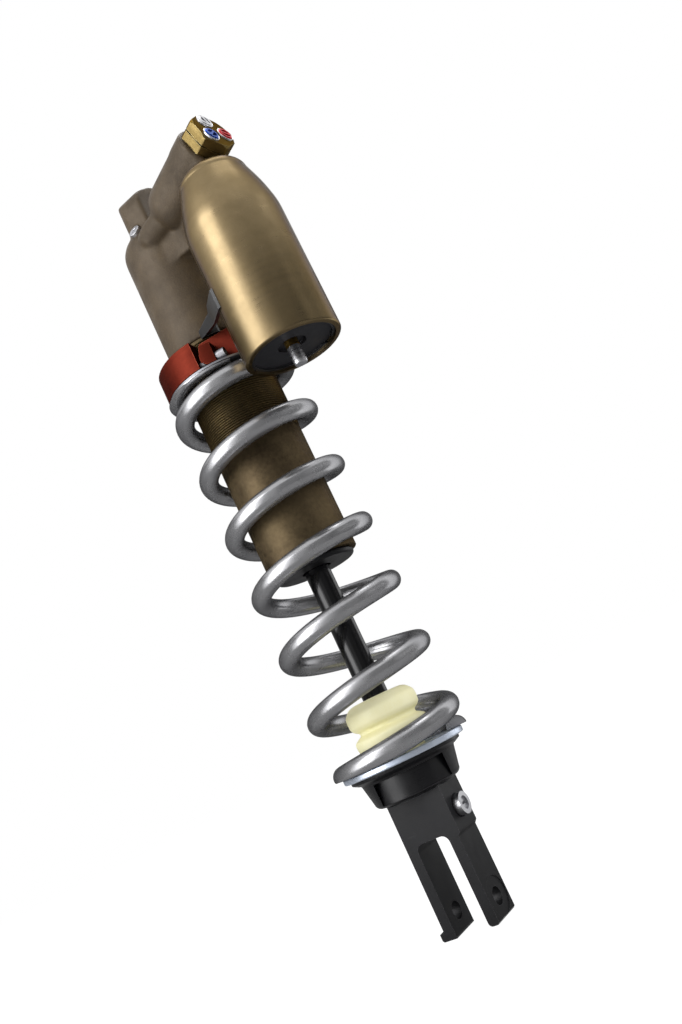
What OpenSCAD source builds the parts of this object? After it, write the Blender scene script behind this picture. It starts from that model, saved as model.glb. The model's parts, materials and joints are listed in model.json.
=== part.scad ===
// Rear shock absorber with a piggyback reservoir and a coil spring over the damper.
// The origin is the centre of the upper eye, +Z runs up the damper and X is the bolt direction.

/* [Mounts] */
// Distance between the two bolt centres at full extension
eye_to_eye = 473; // [455:1:500]
// Bore of the ball in the upper eye
eye_bolt_d = 12; // [8:0.5:12.5]
// Width of the upper eye along the bolt
eye_w = 22; // [20:0.5:26]
// Radius of the upper eye around the bolt
eye_r = 19.5; // [18:0.5:22]
// Bore of the two clevis ears
clevis_bolt_d = 10.2; // [8:0.1:12]
// Width of the slot between the clevis ears
clevis_gap = 21.8; // [18:0.2:24]
// Thickness of each clevis ear
clevis_ear_t = 6.6; // [5:0.2:9]
// Depth of the clevis, front to back
clevis_depth = 24.7; // [22:0.1:30]

/* [Upper eye bearing] */
// Outer diameter of the spherical bearing
bearing_d = 26; // [25:0.5:28]
// Width of the bearing's outer race
bearing_w = 14; // [12:0.5:15]
// Diameter of the bearing's ball
ball_d = 22; // [21.5:0.1:22.5]
// Width of the ball across its flat faces
ball_w = 16; // [15:0.5:17]
// Length of the bolt seat over both collars
collar_span = 27; // [24:0.5:32]

/* [Head casting] */
// Outer diameter of the casting around the damper
head_d = 58.6; // [58.2:0.1:62]
// Depth below the eye at which the casting reaches its full diameter
head_top = 24.5; // [22:0.5:26]
// Radius of the casting's shoulder
shoulder_r = 12; // [8:0.5:14]
// Depth below the eye at which the casting's skirt ends
head_bottom = 104; // [98:1:106]
// Length of the casting's bore that holds the damper tube
socket_l = 42; // [30:1:46]

/* [Damper tube] */
// Diameter of the threaded stretch of the tube
thread_d = 58; // [56:0.2:58]
// Pitch of that thread
thread_pitch = 1.5; // [1:0.25:2]
// Depth below the eye at which the thread ends
thread_end = 173; // [150:1:200]
// Diameter of the smooth stretch of the tube
tube_d = 57.4; // [54:0.2:57.8]
// Depth below the eye at which the tube ends
tube_end = 258; // [240:1:262]
// Bore in which the piston slides
bore_d = 46; // [44:0.5:47]

/* [Reservoir] */
// Distance of the reservoir's axis from the damper's axis
reservoir_off = 76.6; // [76:0.2:82]
// Direction of the reservoir around the damper, in degrees
reservoir_az = -26.4; // [-30:0.5:-22]
// Outer diameter of the reservoir
reservoir_d = 60; // [54:0.5:60]
// Wall of the reservoir
reservoir_wall = 3; // [2.5:0.25:5]
// Depth below the eye of the top of the dome
dome_top = 26; // [25:0.5:30]
// Height of the rounded cap of the dome
dome_h = 9.2; // [7:0.2:12]
// Radius of the dome where its rounded cap begins
dome_r = 22.3; // [20:0.5:24]
// Height of the dome's taper down to the full diameter
taper_h = 31; // [24:1:40]
// Depth below the eye of the reservoir's open end
reservoir_end = 151.5; // [135:0.5:160]

/* [Compression adjuster] */
// Direction of the adjuster around the damper, in degrees
adjuster_az = -11.9; // [-16:0.5:-8]
// Angle by which the adjuster rises from the horizontal
adjuster_tilt = 12.7; // [10:0.5:16]
// Length from the root of its boss to the face of the hexagon
adjuster_l = 83; // [80:1:90]
// Diameter of the boss that holds it
boss_d = 33; // [31:0.5:34]
// Distance across the flats of the hexagon
hex_af = 27; // [24:0.5:28]
// Length of the hexagon
hex_l = 12; // [9:0.5:14]
// Diameter of each of the three dials
dial_d = 9.2; // [7:0.2:9.6]
// Distance of the dials from the middle of the hexagon
dial_ring_r = 7.8; // [7.4:0.1:8.2]

/* [Preload ring] */
// Depth below the eye of the top face of the ring
ring_top = 108.5; // [104:0.5:120]
// Height of the ring
ring_h = 19; // [15:0.5:20]
// Outer diameter of the ring
ring_d = 81.4; // [76:0.2:84]
// Thickness of the washer under the ring
thrust_t = 1.2; // [1:0.1:2]
// Width of the slit in the ring
slit_w = 2.6; // [2:0.2:3]
// Diameter of the clamp bolt's thread
clamp_bolt_d = 4; // [3.5:0.5:5]
// Travel of the ring along its thread
preload_travel = 12; // [6:1:20]

/* [Spring] */
// Diameter of the wire
wire_d = 12; // [9:0.25:12.5]
// Mean diameter of the coils
coil_d = 77; // [75:0.5:77.5]
// Number of turns from tip to tip
spring_turns = 7.815; // [6:0.005:8.2]
// Rise of the closed end turn at the top, before it opens
top_pitch = 9; // [8.5:0.1:11]
// Rise of the closed end turn at the bottom, before it opens
low_pitch = 2; // [1.5:0.1:5]
// Height of the wire that is left at the top tip by the grinding
tip_t = 1.15; // [0.8:0.05:3]
// Amount by which the coils draw in at the two tips
end_inset = 2.5; // [1:0.1:2.8]
// Direction of the lower tip around the damper, in degrees
spring_tip_az = 16; // [0:1:359]
// Number of sides of the modelled wire
wire_sides = 10; // [6:2:12]
// Number of rings of points in each turn
rings_per_turn = 24; // [12:1:28]

/* [Shaft and piston] */
// Diameter of the shaft
shaft_d = 16; // [14:0.5:18]
// Stroke of the damper
stroke = 105; // [80:1:105]
// Height of the piston
piston_h = 12; // [10:0.5:16]
// Width of the piston band
band_w = 8.6; // [6:0.2:9]
// Diameter of the shaft's spigot through the piston
spigot_d = 12; // [10:0.5:12]
// Diameter of the push rod inside the shaft
push_rod_d = 5; // [4:0.25:6]
// Height of the seal head
seal_head_h = 24; // [20:1:26]
// Diameter of the cap under the tube
end_cap_d = 51.5; // [50.5:0.5:55]
// Height of that cap below the tube
end_cap_h = 4; // [3.4:0.2:8]

/* [Lower end] */
// Height of the lower spring seat above the lower bolt
seat_h = 91.5; // [88:0.5:96]
// Outer diameter of the lower washer
lower_washer_d = 76.4; // [74:0.2:80]
// Thickness of the lower washer
lower_washer_t = 3.5; // [2:0.1:4]
// Diameter of the spring seat's flange
seat_flange_d = 69.5; // [66:0.5:72]
// Diameter of the spring seat below its flange
seat_d = 59; // [56:0.5:62]
// Height of the spring seat below the washer
seat_body_h = 20; // [18:0.5:24]
// Free height of the bump rubber
bump_h = 48; // [40:1:52]
// Largest diameter of the bump rubber
bump_d = 46; // [40:0.5:46]
// Extra width of the clevis block on the adjuster's side
block_step = 1.8; // [1:0.1:3]
// Diameter of the rebound adjuster's head
rebound_head_d = 12.8; // [12:0.2:15]
// Height of the rebound adjuster above the lower bolt
rebound_h = 52.5; // [50:0.5:55]

/* [Fits] */
// Radial clearance of parts that run on each other
run_gap = 0.05; // [0.02:0.01:0.08]
// Clearance of parts that sit still on each other
seat_gap = 0.05; // [0.03:0.01:0.1]
// Clearance of the spring and of other parts that aren't machined to each other
loose_gap = 0.25; // [0.2:0.05:0.4]

/* [Hidden] */
$fn = 64;

// Lower end, as heights below the eye
lower_z = -eye_to_eye;
seat_z = lower_z + seat_h;
washer_bottom = seat_z - lower_washer_t;
seat_bottom = washer_bottom - seat_body_h;
head_disc_h = 10;
head_disc_top = seat_bottom + head_disc_h - 1;
seat_web_t = 2;
seat_web_top = head_disc_top + seat_gap + seat_web_t;
head_disc_d = seat_d - 16;
bump_pocket_d = bump_d + 2;
bump_top = seat_web_top + bump_h;
ear_r = 11.5;
slot_top = lower_z + 41.8;
step_z = lower_z + 40.4;
clevis_half_w = clevis_gap / 2 + clevis_ear_t;
block_face_x = clevis_half_w + block_step;
rebound_z = lower_z + rebound_h;
rebound_r = 4;
shaft_foot_wall = 4.45;
shaft_low = rebound_z + rebound_r + run_gap + shaft_foot_wall;

// Ring, washer and spring
ring_bottom = -ring_top - ring_h;
thrust_bottom = ring_bottom - seat_gap - thrust_t;
spring_top = thrust_bottom - loose_gap;
spring_bottom = seat_z + loose_gap;
coil_r = coil_d / 2;
wire_r = wire_d / 2;
// Turns from each tip at which the closed coil begins to open and is fully open
top_ramp = [0.4765, 1.3765];
low_ramp = [0.42, 1.02];
centre_top = spring_top + wire_r - tip_t;
centre_low = spring_bottom;
open_pitch = (centre_top - centre_low - low_pitch * (low_ramp[0] + low_ramp[1]) / 2
    - top_pitch * (top_ramp[0] + top_ramp[1]) / 2)
    / (spring_turns - (low_ramp[0] + low_ramp[1] + top_ramp[0] + top_ramp[1]) / 2);
slit_az = -76;
bolt_r = 35;
bolt_seat = 10.2;
bolt_z = ring_bottom + 3.7;
bolt_head_r = 3.4;
ear_top = -ring_top - 5.8;
pocket_x = bolt_r - bolt_head_r - 1.2;

// Damper
shaft_r = shaft_d / 2;
bore_r = bore_d / 2;
cap_spigot_h = 6;
circlip_t = 1.7;
circlip_z = -tube_end + cap_spigot_h;
seal_bottom = circlip_z + circlip_t + 2 * seat_gap;
seal_top = seal_bottom + seal_head_h;
wiper_h = 5;
oil_seal_h = 6;
bush_h = seal_head_h - wiper_h - oil_seal_h - 1;
wiper_r = shaft_r + 4.5;
oil_seal_r = shaft_r + 3.5;
bush_r = shaft_r + 1.8;
groove_w = 3.6;
groove_depth = 2.2;
rubber_h = 6.5;
rubber_top = seal_top + seat_gap + rubber_h;
stack_bottom = rubber_top + 0.15;
washer_t = 2;
shim_t = 2;
piston_z = stack_bottom + washer_t + shim_t + 2 * seat_gap;
piston_top = piston_z + piston_h;
nut_z = piston_top + shim_t + 2 * seat_gap;
nut_h = 8;
shaft_top = nut_z + nut_h + 1.5;
band_r = bore_r - 0.03;
band_in_r = bore_r - 2;
socket_d = thread_d - 7.2;
tube_top = -head_bottom + socket_l;
chamber_top = -45;

// Reservoir
res_x = reservoir_off * cos(reservoir_az);
res_y = reservoir_off * sin(reservoir_az);
res_r = reservoir_d / 2;
neck_r = 11;
neck_bottom = -dome_top - 14;
cap_t = 9;
cap_recess = 3.2;
cap_r = res_r - reservoir_wall - 0.6;
valve_r = 4.2;
valve_end = -reservoir_end - 10;

// Adjuster, in its own frame, whose +Z runs out along the boss
adjuster_root = [5, -18.5, -25.3];
boss_r = boss_d / 2;
hex_z = adjuster_l - hex_l;
barrel_r = 10.5;
boss_from = 30;
boss_step_l = 14;
barrel_l = 34;
barrel_z = hex_z - barrel_l;
boss_bore_end = barrel_z - 10.5;
// The drilling from the chamber to the adjuster, from its rounded end to the boss
drill_root = [8.6, -25, -26.4];
drill_r = 9;
boss_start = adjuster_root + boss_from * [cos(adjuster_tilt) * cos(adjuster_az),
    cos(adjuster_tilt) * sin(adjuster_az), sin(adjuster_tilt)];
drill_dir = boss_start - drill_root;
drill_l = norm(drill_dir);
dial_depth = 6;
dial_proud = 1.6;
dial_angles = [195, 315, 75];

module tube(r_out, r_in, z_low, z_high) {
    translate([0, 0, z_low])
        difference() {
            cylinder(h = z_high - z_low, r = r_out);
            translate([0, 0, -1]) cylinder(h = z_high - z_low + 2, r = r_in);
        }
}

module disc(r, z_low, z_high) {
    translate([0, 0, z_low]) cylinder(h = z_high - z_low, r = r);
}

module o_ring(mean_r, section_r, z) {
    translate([0, 0, z]) rotate_extrude() translate([mean_r, 0]) circle(r = section_r, $fn = 24);
}

// A split ring of rectangular section whose gap faces the given direction
module snap_ring(r_out, r_in, z_low, z_high, gap_w, az) {
    difference() {
        tube(r_out, r_in, z_low, z_high);
        rotate([0, 0, az]) translate([0, -gap_w / 2, z_low - 1])
            cube([r_out + 1, gap_w, z_high - z_low + 2]);
    }
}

module along_x() { rotate([0, 90, 0]) children(); }
module at_reservoir() { translate([res_x, res_y, 0]) children(); }
module at_adjuster() {
    translate(adjuster_root) rotate([0, 90 - adjuster_tilt, adjuster_az]) children();
}
module at_drill() {
    translate(drill_root)
        rotate([0, acos(drill_dir[2] / drill_l), atan2(drill_dir[1], drill_dir[0])]) children();
}
module at_each_dial(i) { rotate([0, 0, dial_angles[i]]) translate([dial_ring_r, 0, 0]) children(); }

// Points of an arc, for outlines
function arc(cx, cy, r, from, to, steps = 8) =
    [for (i = [0 : steps]) let (a = from + (to - from) * i / steps) [cx + r * cos(a), cy + r * sin(a)]];
function quarter(cx, cy, rx, ry, from, to, steps = 8) =
    [for (i = [0 : steps]) let (a = from + (to - from) * i / steps) [cx + rx * cos(a), cy + ry * sin(a)]];

// Outline of the reservoir, grown by an offset, from its axis at the top round to its open end
function shell_outline(grow, bottom) = concat(
    [[0, -dome_top + grow]],
    quarter(dome_r - 13.2, -dome_top - dome_h, 13.2 + grow, dome_h + grow, 90, 0, 10),
    [[(dome_r + res_r) / 2 + 0.7 + grow, -dome_top - dome_h - taper_h * 0.45],
     [res_r - 0.7 + grow, -dome_top - dome_h - taper_h * 0.82],
     [res_r + grow, -dome_top - dome_h - taper_h],
     [res_r + grow, bottom], [0, bottom]]);

lug_corner_r = 10.5;
lug_depth = 24.8;
module lug_profile() {
    hull() {
        circle(r = eye_r);
        for (side = [-1, 1]) translate([2.6, side * (lug_depth - lug_corner_r)]) circle(r = lug_corner_r);
        translate([-head_top - 3, -lug_depth]) square([2, 2 * lug_depth]);
    }
}
// The lug seen from above: its outer corners are rounded on the side away from the adjuster
lug_round = 9;
lug_plan = let (w = eye_w / 2, d = lug_depth + 1) concat(
    arc(w - 1.5, d - 2.5, 1.5, 0, 90, 3),
    arc(lug_round - w, d - lug_round - 1, lug_round, 90, 180, 8),
    arc(lug_round - w, lug_round + 1 - d, lug_round, 180, 270, 8),
    arc(w - 1.5, 2.5 - d, 1.5, 270, 360, 3));
module lug() {
    intersection() {
        translate([-eye_w / 2, 0, 0]) along_x() mirror([1, 0, 0])
            linear_extrude(height = eye_w) lug_profile();
        translate([0, 0, -head_top - 4]) linear_extrude(height = head_top + eye_r + 8) polygon(lug_plan);
    }
}

module head_casting() {
    color("dimgray") difference() {
        union() {
            rotate_extrude() polygon(concat(
                [[0, -head_bottom], [head_d / 2, -head_bottom]],
                arc(head_d / 2 - shoulder_r, -head_top, shoulder_r, 0, 90),
                [[0, -head_top + shoulder_r]]));
            lug();
            at_adjuster() translate([0, 0, boss_from]) {
                cylinder(h = hex_z - boss_from - seat_gap, r = boss_r);
                translate([0, 0, hex_z - boss_from - boss_step_l])
                    cylinder(h = boss_step_l - seat_gap, r = boss_r + 0.4);
                sphere(r = boss_r);
            }
            at_drill() {
                cylinder(h = drill_l, r = drill_r);
                sphere(r = drill_r);
            }
            reservoir_arm();
            difference() {
                at_reservoir() disc(neck_r, neck_bottom, -12);
                at_adjuster() translate([0, 0, hex_z - seat_gap]) cylinder(h = 20, r = boss_r + 0.6);
            }
            bleed_boss();
        }
        // Chamber above the tube and the socket that holds it
        disc(socket_d / 2 + seat_gap, -head_bottom - 1, tube_top + seat_gap);
        disc(bore_r, tube_top - 1, chamber_top);
        // Bore for the spherical bearing
        translate([-eye_w / 2 - 1, 0, 0]) along_x() cylinder(h = eye_w + 2, d = bearing_d + 2 * seat_gap);
        for (side = [-1, 1]) translate([side * (bearing_w / 2 + 0.8), 0, 0])
            along_x() cylinder(h = 1.4, r = bearing_d / 2 + 1, center = true);
        // Bore for the adjuster, the oil way to the chamber and the one to the reservoir
        at_adjuster() translate([0, 0, boss_bore_end])
            cylinder(h = hex_z - boss_bore_end + 5, r = barrel_r + seat_gap);
        at_drill() cylinder(h = drill_l + 3, r = 4);
        translate([drill_root[0] + 0.5, drill_root[1] + 6, chamber_top - 3])
            cylinder(h = drill_root[2] - chamber_top + 4, r = 3.5);
        at_reservoir() disc(5, neck_bottom - 1, -14);
        at_bleed() {
            translate([0, 0, -9]) cylinder(h = 20, r = 2.5 + seat_gap);
            translate([0, 0, bleed_face]) cylinder(h = 20, r = 4.9);
        }
        // Room for the bolt head beside the eye
        translate([eye_w / 2, 0, 0]) along_x() cylinder(h = 30, r = 12);
        translate([-eye_w / 2 - 30, 0, 0]) along_x() cylinder(h = 30, r = 12);
    }
}

// Web between the casting and the flank of the reservoir, cut to the reservoir's outline: distance
// from the damper's axis and half-width of each corner
arm_bottom = -50;
arm_h = 26;
arm_corners = [[8, 21], [24, 17.5], [31, 12.5], [37, 9.5], [64, 8.5]];
module reservoir_arm() {
    last = len(arm_corners) - 1;
    difference() {
        rotate([0, 0, reservoir_az]) translate([0, 0, arm_bottom]) linear_extrude(height = arm_h)
            polygon([for (p = arm_corners) [p[0], -p[1]], for (i = [last : -1 : 0]) arm_corners[i]]);
        at_reservoir() rotate_extrude() polygon(shell_outline(0.3, -reservoir_end));
    }
}

bleed_at = [-1.2, -22.1, -17];
bleed_tilt = 58;
module at_bleed() { translate(bleed_at) rotate([bleed_tilt, 0, 0]) children(); }
bleed_face = 3;
module bleed_boss() { at_bleed() translate([0, 0, -8]) cylinder(h = 8 + bleed_face, r = 4.9); }

module bleed_screw() {
    color("silver") at_bleed() difference() {
        union() {
            translate([0, 0, bleed_face + seat_gap]) cylinder(h = 2.4, r = 4.2);
            translate([0, 0, -7]) cylinder(h = 8 + bleed_face, r = 2.5);
        }
        translate([0, 0, bleed_face + 1]) cylinder(h = 3, r = 1.9, $fn = 6);
    }
}

module damper_tube() {
    color("saddlebrown") difference() {
        union() {
            disc(socket_d / 2, -head_bottom - 1, tube_top);
            disc(thread_d / 2, -thread_end, -head_bottom - seat_gap);
            disc(tube_d / 2, -tube_end, -thread_end + 1);
        }
        disc(bore_r, -tube_end - 1, tube_top + 1);
        disc(bore_r + 1.2, circlip_z, circlip_z + circlip_t + 2 * seat_gap);
    }
}

module reservoir_shell() {
    inner = res_r - reservoir_wall;
    color("peru") difference() {
        at_reservoir() rotate_extrude() polygon(concat(
            [[0, -dome_top]],
            [for (i = [1 : len(shell_outline(0, 0)) - 3]) shell_outline(0, 0)[i]],
            arc(res_r - 1.5, -reservoir_end + 1.5, 1.5, 0, -90, 4),
            [[0, -reservoir_end]]));
        at_reservoir() {
            rotate_extrude() polygon([[0, neck_bottom - 3], [13, neck_bottom - 3], [18, neck_bottom - 8],
                [inner - 3.5, -dome_top - dome_h - taper_h * 0.6], [inner, -dome_top - dome_h - taper_h],
                [inner, -reservoir_end + cap_t + cap_recess + 8],
                [0, -reservoir_end + cap_t + cap_recess + 8]]);
            disc(cap_r + seat_gap, -reservoir_end - 1, -reservoir_end + cap_t + cap_recess + 9);
            disc(cap_r + 1, -reservoir_end + cap_recess - 1.6 - seat_gap, -reservoir_end + cap_recess);
            disc(neck_r + seat_gap, neck_bottom - 5, -10);
        }
        at_adjuster() cylinder(h = hex_z + 5, r = boss_r + 0.5 + loose_gap);
    }
}

module reservoir_circlip() {
    color("gray") at_reservoir()
        snap_ring(cap_r + 0.8, cap_r - 1.6, -reservoir_end + cap_recess - 1.6,
            -reservoir_end + cap_recess - 0.1, 8, 60);
}

module reservoir_cap() {
    top = -reservoir_end + cap_recess + cap_t;
    color([0.2, 0.2, 0.21]) at_reservoir() difference() {
        disc(cap_r, -reservoir_end + cap_recess, top);
        tube(cap_r + 1, cap_r - groove_depth, top - 5.8, top - 5.8 + groove_w);
        disc(valve_r + 4.6, -reservoir_end + cap_recess - 1, -reservoir_end + cap_recess + 2.4);
        disc(valve_r + seat_gap, -reservoir_end, top + 1);
        // Relief above the bladder's bead
        tube(cap_r - 4, cap_r - 7, top - 3, top + 1);
    }
}

module cap_o_ring() {
    color("black") at_reservoir()
        o_ring(cap_r - groove_depth / 2, groove_depth / 2 - seat_gap,
            -reservoir_end + cap_recess + cap_t - 4);
}

// The bead of the bladder sits in the cap's relief; its bag ends in a rounded dome
module gas_bladder() {
    top = -reservoir_end + cap_recess + cap_t;
    wall = 2;
    bead_in = cap_r - 6.8;
    bead_out = cap_r - 4.2;
    bag_r = res_r - reservoir_wall - 3;
    bag_round = bag_r - 10;
    bag_top = -dome_top - dome_h - taper_h - 12;
    color([0.1, 0.1, 0.1]) at_reservoir() rotate_extrude() polygon(concat(
        [[bead_in, top - 2.8], [bead_out, top - 2.8], [bead_out, top + wall], [bag_r, top + 3 * wall]],
        arc(bag_r - bag_round, bag_top - bag_round, bag_round, 0, 90, 6), [[0, bag_top], [0, bag_top - wall]],
        arc(bag_r - bag_round, bag_top - bag_round, bag_round - wall, 90, 0, 6),
        [[bag_r - wall, top + 3 * wall + 0.5], [bead_in, top + wall + 0.5]]));
}

module valve_stem() {
    top = -reservoir_end + cap_recess + cap_t;
    color("gold") at_reservoir() difference() {
        union() {
            disc(valve_r, -reservoir_end + 1.5, top - seat_gap);
            disc(valve_r + 2, top + seat_gap, top + 2);
            disc(valve_r, top - 1, top + 1);
            disc(3, valve_end + 4, -reservoir_end + 2);
        }
        disc(1.6, valve_end, top + 3);
    }
}

module valve_pin() {
    color("gold") at_reservoir() {
        disc(0.7, valve_end + 3.2, -reservoir_end + 8);
        disc(1.6 - run_gap, -reservoir_end + 3, -reservoir_end + 6);
    }
}

module valve_cap() {
    color("silver") at_reservoir() difference() {
        union() {
            disc(valve_r, valve_end + 2, -reservoir_end + 1.4);
            translate([0, 0, valve_end + 2]) intersection() {
                scale([1, 1, 1]) sphere(r = valve_r);
                disc(valve_r, -2, 0.5);
            }
        }
        disc(3 + seat_gap, valve_end + 2.8, -reservoir_end + 3);
    }
}

// Folded strip between the casting and the flank of the reservoir: x and y of each fold, and the
// heights of the strip's lower and upper edge there, down from the foot of the casting
stay_t = 1.8;
stay_path = [[11.8, -28.3, -2.3, 3], [28.2, -36.6, -4.1, 4], [33.5, -43.6, -7.3, 4.4],
    [47.4, -57.1, -9.8, 3]];
stay_foot = [20.5, -23.5, -2.3, 5];
stay_cut = 12;
module stay_fold(c) {
    translate([c[0], c[1], c[2] - head_bottom]) cube([stay_t, stay_t, c[3] - c[2]]);
}
module reservoir_stay() {
    color([0.08, 0.08, 0.08]) difference() {
        union() {
            for (i = [0 : 2]) hull() { stay_fold(stay_path[i]); stay_fold(stay_path[i + 1]); }
            // Foot that lies on the casting
            hull() { stay_fold(stay_path[0]); stay_fold(stay_foot); }
        }
        disc(head_d / 2 + seat_gap, -head_bottom - stay_cut, -head_bottom + stay_cut);
        at_reservoir() disc(res_r + seat_gap, -head_bottom - stay_cut, -head_bottom + stay_cut);
    }
}

module adjuster_body() {
    color("darkgoldenrod") at_adjuster() difference() {
        union() {
            intersection() {
                translate([0, 0, hex_z]) rotate([0, 0, 6]) cylinder(h = hex_l, r = hex_af / sqrt(3), $fn = 6);
                rotate_extrude() polygon([[0, hex_z], [hex_af / 2 + 1.6, hex_z],
                    [hex_af / 2 + 1.6, adjuster_l - 1.2], [hex_af / 2 + 0.4, adjuster_l], [0, adjuster_l]]);
            }
            translate([0, 0, adjuster_l - 1]) cylinder(h = 2, r1 = 1.7, r2 = 1.2);
            translate([0, 0, barrel_z]) cylinder(h = barrel_l + 1, r = barrel_r);
        }
        for (i = [0 : 2]) at_each_dial(i)
            translate([0, 0, adjuster_l - dial_depth])
                cylinder(h = dial_depth + 1, r = dial_d / 2 + run_gap);
        translate([0, 0, hex_z + hex_l * 0.45]) tube(hex_af, hex_af / 2 - 0.35, 0, 0.8);
        translate([0, 0, barrel_z - 1]) cylinder(h = 18, r = 7.6);
        translate([0, 0, barrel_z]) cylinder(h = barrel_l - 4, r = 2.3);
        translate([0, 0, barrel_z + 24]) tube(barrel_r + 1, barrel_r - groove_depth, 0, groove_w);
        for (a = [0 : 60 : 300]) rotate([0, 0, a]) translate([6, 0, barrel_z + 9])
            rotate([0, 90, 0]) cylinder(h = 8, r = 1.6, $fn = 16);
    }
}

module dial(i, colour) {
    color(colour) at_adjuster() at_each_dial(i) difference() {
        union() {
            translate([0, 0, adjuster_l - dial_depth + 0.1])
                cylinder(h = dial_depth + dial_proud - 0.7, r = dial_d / 2);
            translate([0, 0, adjuster_l + dial_proud - 0.61])
                cylinder(h = 0.6, r1 = dial_d / 2, r2 = dial_d / 2 - 0.6);
        }
        translate([0, 0, adjuster_l + dial_proud - 1.1]) difference() {
            cylinder(h = 3, r = dial_d / 2 - 1.5);
            translate([-4, -0.55, -1]) cube([8, 1.1, 2.1]);
        }
        translate([dial_d / 2 - 1.5, -0.5, adjuster_l + dial_proud - 1.1]) cube([3, 1, 3]);
    }
}
module dial_silver() { dial(0, "silver"); }
module dial_blue() { dial(1, "royalblue"); }
module dial_red() { dial(2, "firebrick"); }

module adjuster_needle() {
    color("silver") at_adjuster() {
        translate([0, 0, barrel_z + 4.5]) cylinder(h = barrel_l - 16, r = 2.3 - run_gap);
        translate([0, 0, barrel_z + 1.5]) cylinder(h = 3.01, r1 = 0.6, r2 = 2.3 - run_gap);
    }
}

module adjuster_piston() {
    color("goldenrod") at_adjuster() translate([0, 0, barrel_z - 9]) difference() {
        union() {
            cylinder(h = 6, r = barrel_r - run_gap);
            cylinder(h = 12, r = 4);
        }
        translate([0, 0, -1]) cylinder(h = 14, r = 2);
        for (a = [0 : 60 : 300]) rotate([0, 0, a]) translate([7, 0, -1]) cylinder(h = 8, r = 1.4, $fn = 16);
    }
}

module adjuster_shims() {
    color("silver") at_adjuster() for (i = [0 : 3])
        translate([0, 0, barrel_z - 3 + seat_gap + i * 0.7])
            tube(7.2 - i * 0.7, 4 + seat_gap, 0, 0.7 - seat_gap);
}

module adjuster_o_ring() {
    color("black") at_adjuster()
        o_ring(barrel_r - groove_depth / 2, groove_depth / 2 - seat_gap, barrel_z + 24 + groove_w / 2);
}

module bearing_race() {
    color("gray") difference() {
        translate([-bearing_w / 2, 0, 0]) along_x() cylinder(h = bearing_w, d = bearing_d);
        sphere(r = ball_d / 2 + run_gap);
    }
}

module bearing_circlips() {
    color("black") for (side = [-1, 1]) translate([side * (bearing_w / 2 + 0.8), 0, 0])
        along_x() snap_ring(bearing_d / 2 + 0.9, bearing_d / 2 - 1.6, -0.6, 0.6, 5, 180);
}

module eye_seals() {
    inner = bearing_w / 2 + 1.6;
    color([0.12, 0.12, 0.12]) for (side = [0, 1]) mirror([side, 0, 0]) translate([inner, 0, 0])
        along_x() tube(bearing_d / 2, 7.5 + run_gap, 0, eye_w / 2 - inner - 0.2);
}

module eye_ball() {
    color("silver") difference() {
        intersection() {
            sphere(r = ball_d / 2);
            cube([ball_w, ball_d + 2, ball_d + 2], center = true);
        }
        translate([-ball_w, 0, 0]) along_x() cylinder(h = 2 * ball_w, d = eye_bolt_d);
    }
}

module eye_collars() {
    color("silver") for (side = [0, 1]) mirror([side, 0, 0])
        translate([ball_w / 2 + seat_gap, 0, 0]) along_x() difference() {
            union() {
                cylinder(h = collar_span / 2 - ball_w / 2 - seat_gap, r = 7.5);
                translate([0, 0, (eye_w - ball_w) / 2 + loose_gap])
                    cylinder(h = (collar_span - eye_w) / 2 - loose_gap - seat_gap, r = 9.5);
            }
            translate([0, 0, -1]) cylinder(h = collar_span, d = eye_bolt_d);
        }
}

// The frame of the clamp bolt: at the slit, with +Z along the bolt towards its head
module at_clamp() {
    rotate([0, 0, slit_az]) translate([bolt_r, 0, bolt_z]) rotate([-90, 0, 0]) children();
}

module preload_ring() {
    color("orangered") difference() {
        union() {
            translate([0, 0, ring_bottom]) difference() {
                rotate_extrude() polygon([[thread_d / 2 + run_gap, 0], [ring_d / 2 - 0.6, 0],
                    [ring_d / 2, 0.6], [ring_d / 2, ring_h - 0.5], [ring_d / 2 - 0.5, ring_h],
                    [thread_d / 2 + run_gap, ring_h]]);
                for (a = [20 : 50 : 170]) rotate([0, 0, a])
                    translate([ring_d / 2 - 3, -3, ring_h - 6]) cube([6, 6, 8]);
            }
        }
        // Slit, the flat that leaves an ear beside it, and the ear's bevelled outline
        rotate([0, 0, slit_az]) {
            translate([20, -slit_w / 2, ring_bottom - 1]) cube([30, slit_w, ring_h + 2]);
            translate([pocket_x, bolt_seat, ring_bottom - 1]) cube([20, 22, ring_h + 2]);
            translate([pocket_x, 0, 0]) rotate([90, 0, 90]) linear_extrude(height = 20) polygon([
                [slit_w / 2 - 1, ring_bottom + 6.3], [slit_w / 2, ring_bottom + 6.3],
                [slit_w / 2 + 2.4, ear_top],
                [bolt_seat + 1, ear_top], [bolt_seat + 1, -ring_top + 1], [slit_w / 2 - 1, -ring_top + 1]]);
            translate([pocket_x, 0, 0]) rotate([90, 0, 90]) linear_extrude(height = 20) polygon([
                [slit_w / 2 - 1, ring_bottom - 1], [slit_w / 2 + 4.5, ring_bottom - 1],
                [slit_w / 2 + 3.5, ring_bottom], [slit_w / 2, ring_bottom + 3],
                [slit_w / 2 - 1, ring_bottom + 3]]);
        }
        at_clamp() translate([0, 0, -14]) cylinder(h = 40, r = clamp_bolt_d / 2 + seat_gap);
    }
}

module clamp_bolt() {
    color("gray") at_clamp() difference() {
        union() {
            translate([0, 0, -12]) cylinder(h = bolt_seat + 12.5, d = clamp_bolt_d);
            translate([0, 0, bolt_seat + seat_gap]) cylinder(h = 6.2, r = bolt_head_r);
        }
        translate([0, 0, bolt_seat + 3.4]) cylinder(h = 4, r = 1.7, $fn = 6);
    }
}

module thrust_washer() {
    color("silver") tube(ring_d / 2 - 0.3, thread_d / 2 + run_gap, thrust_bottom, ring_bottom - seat_gap);
}

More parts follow.
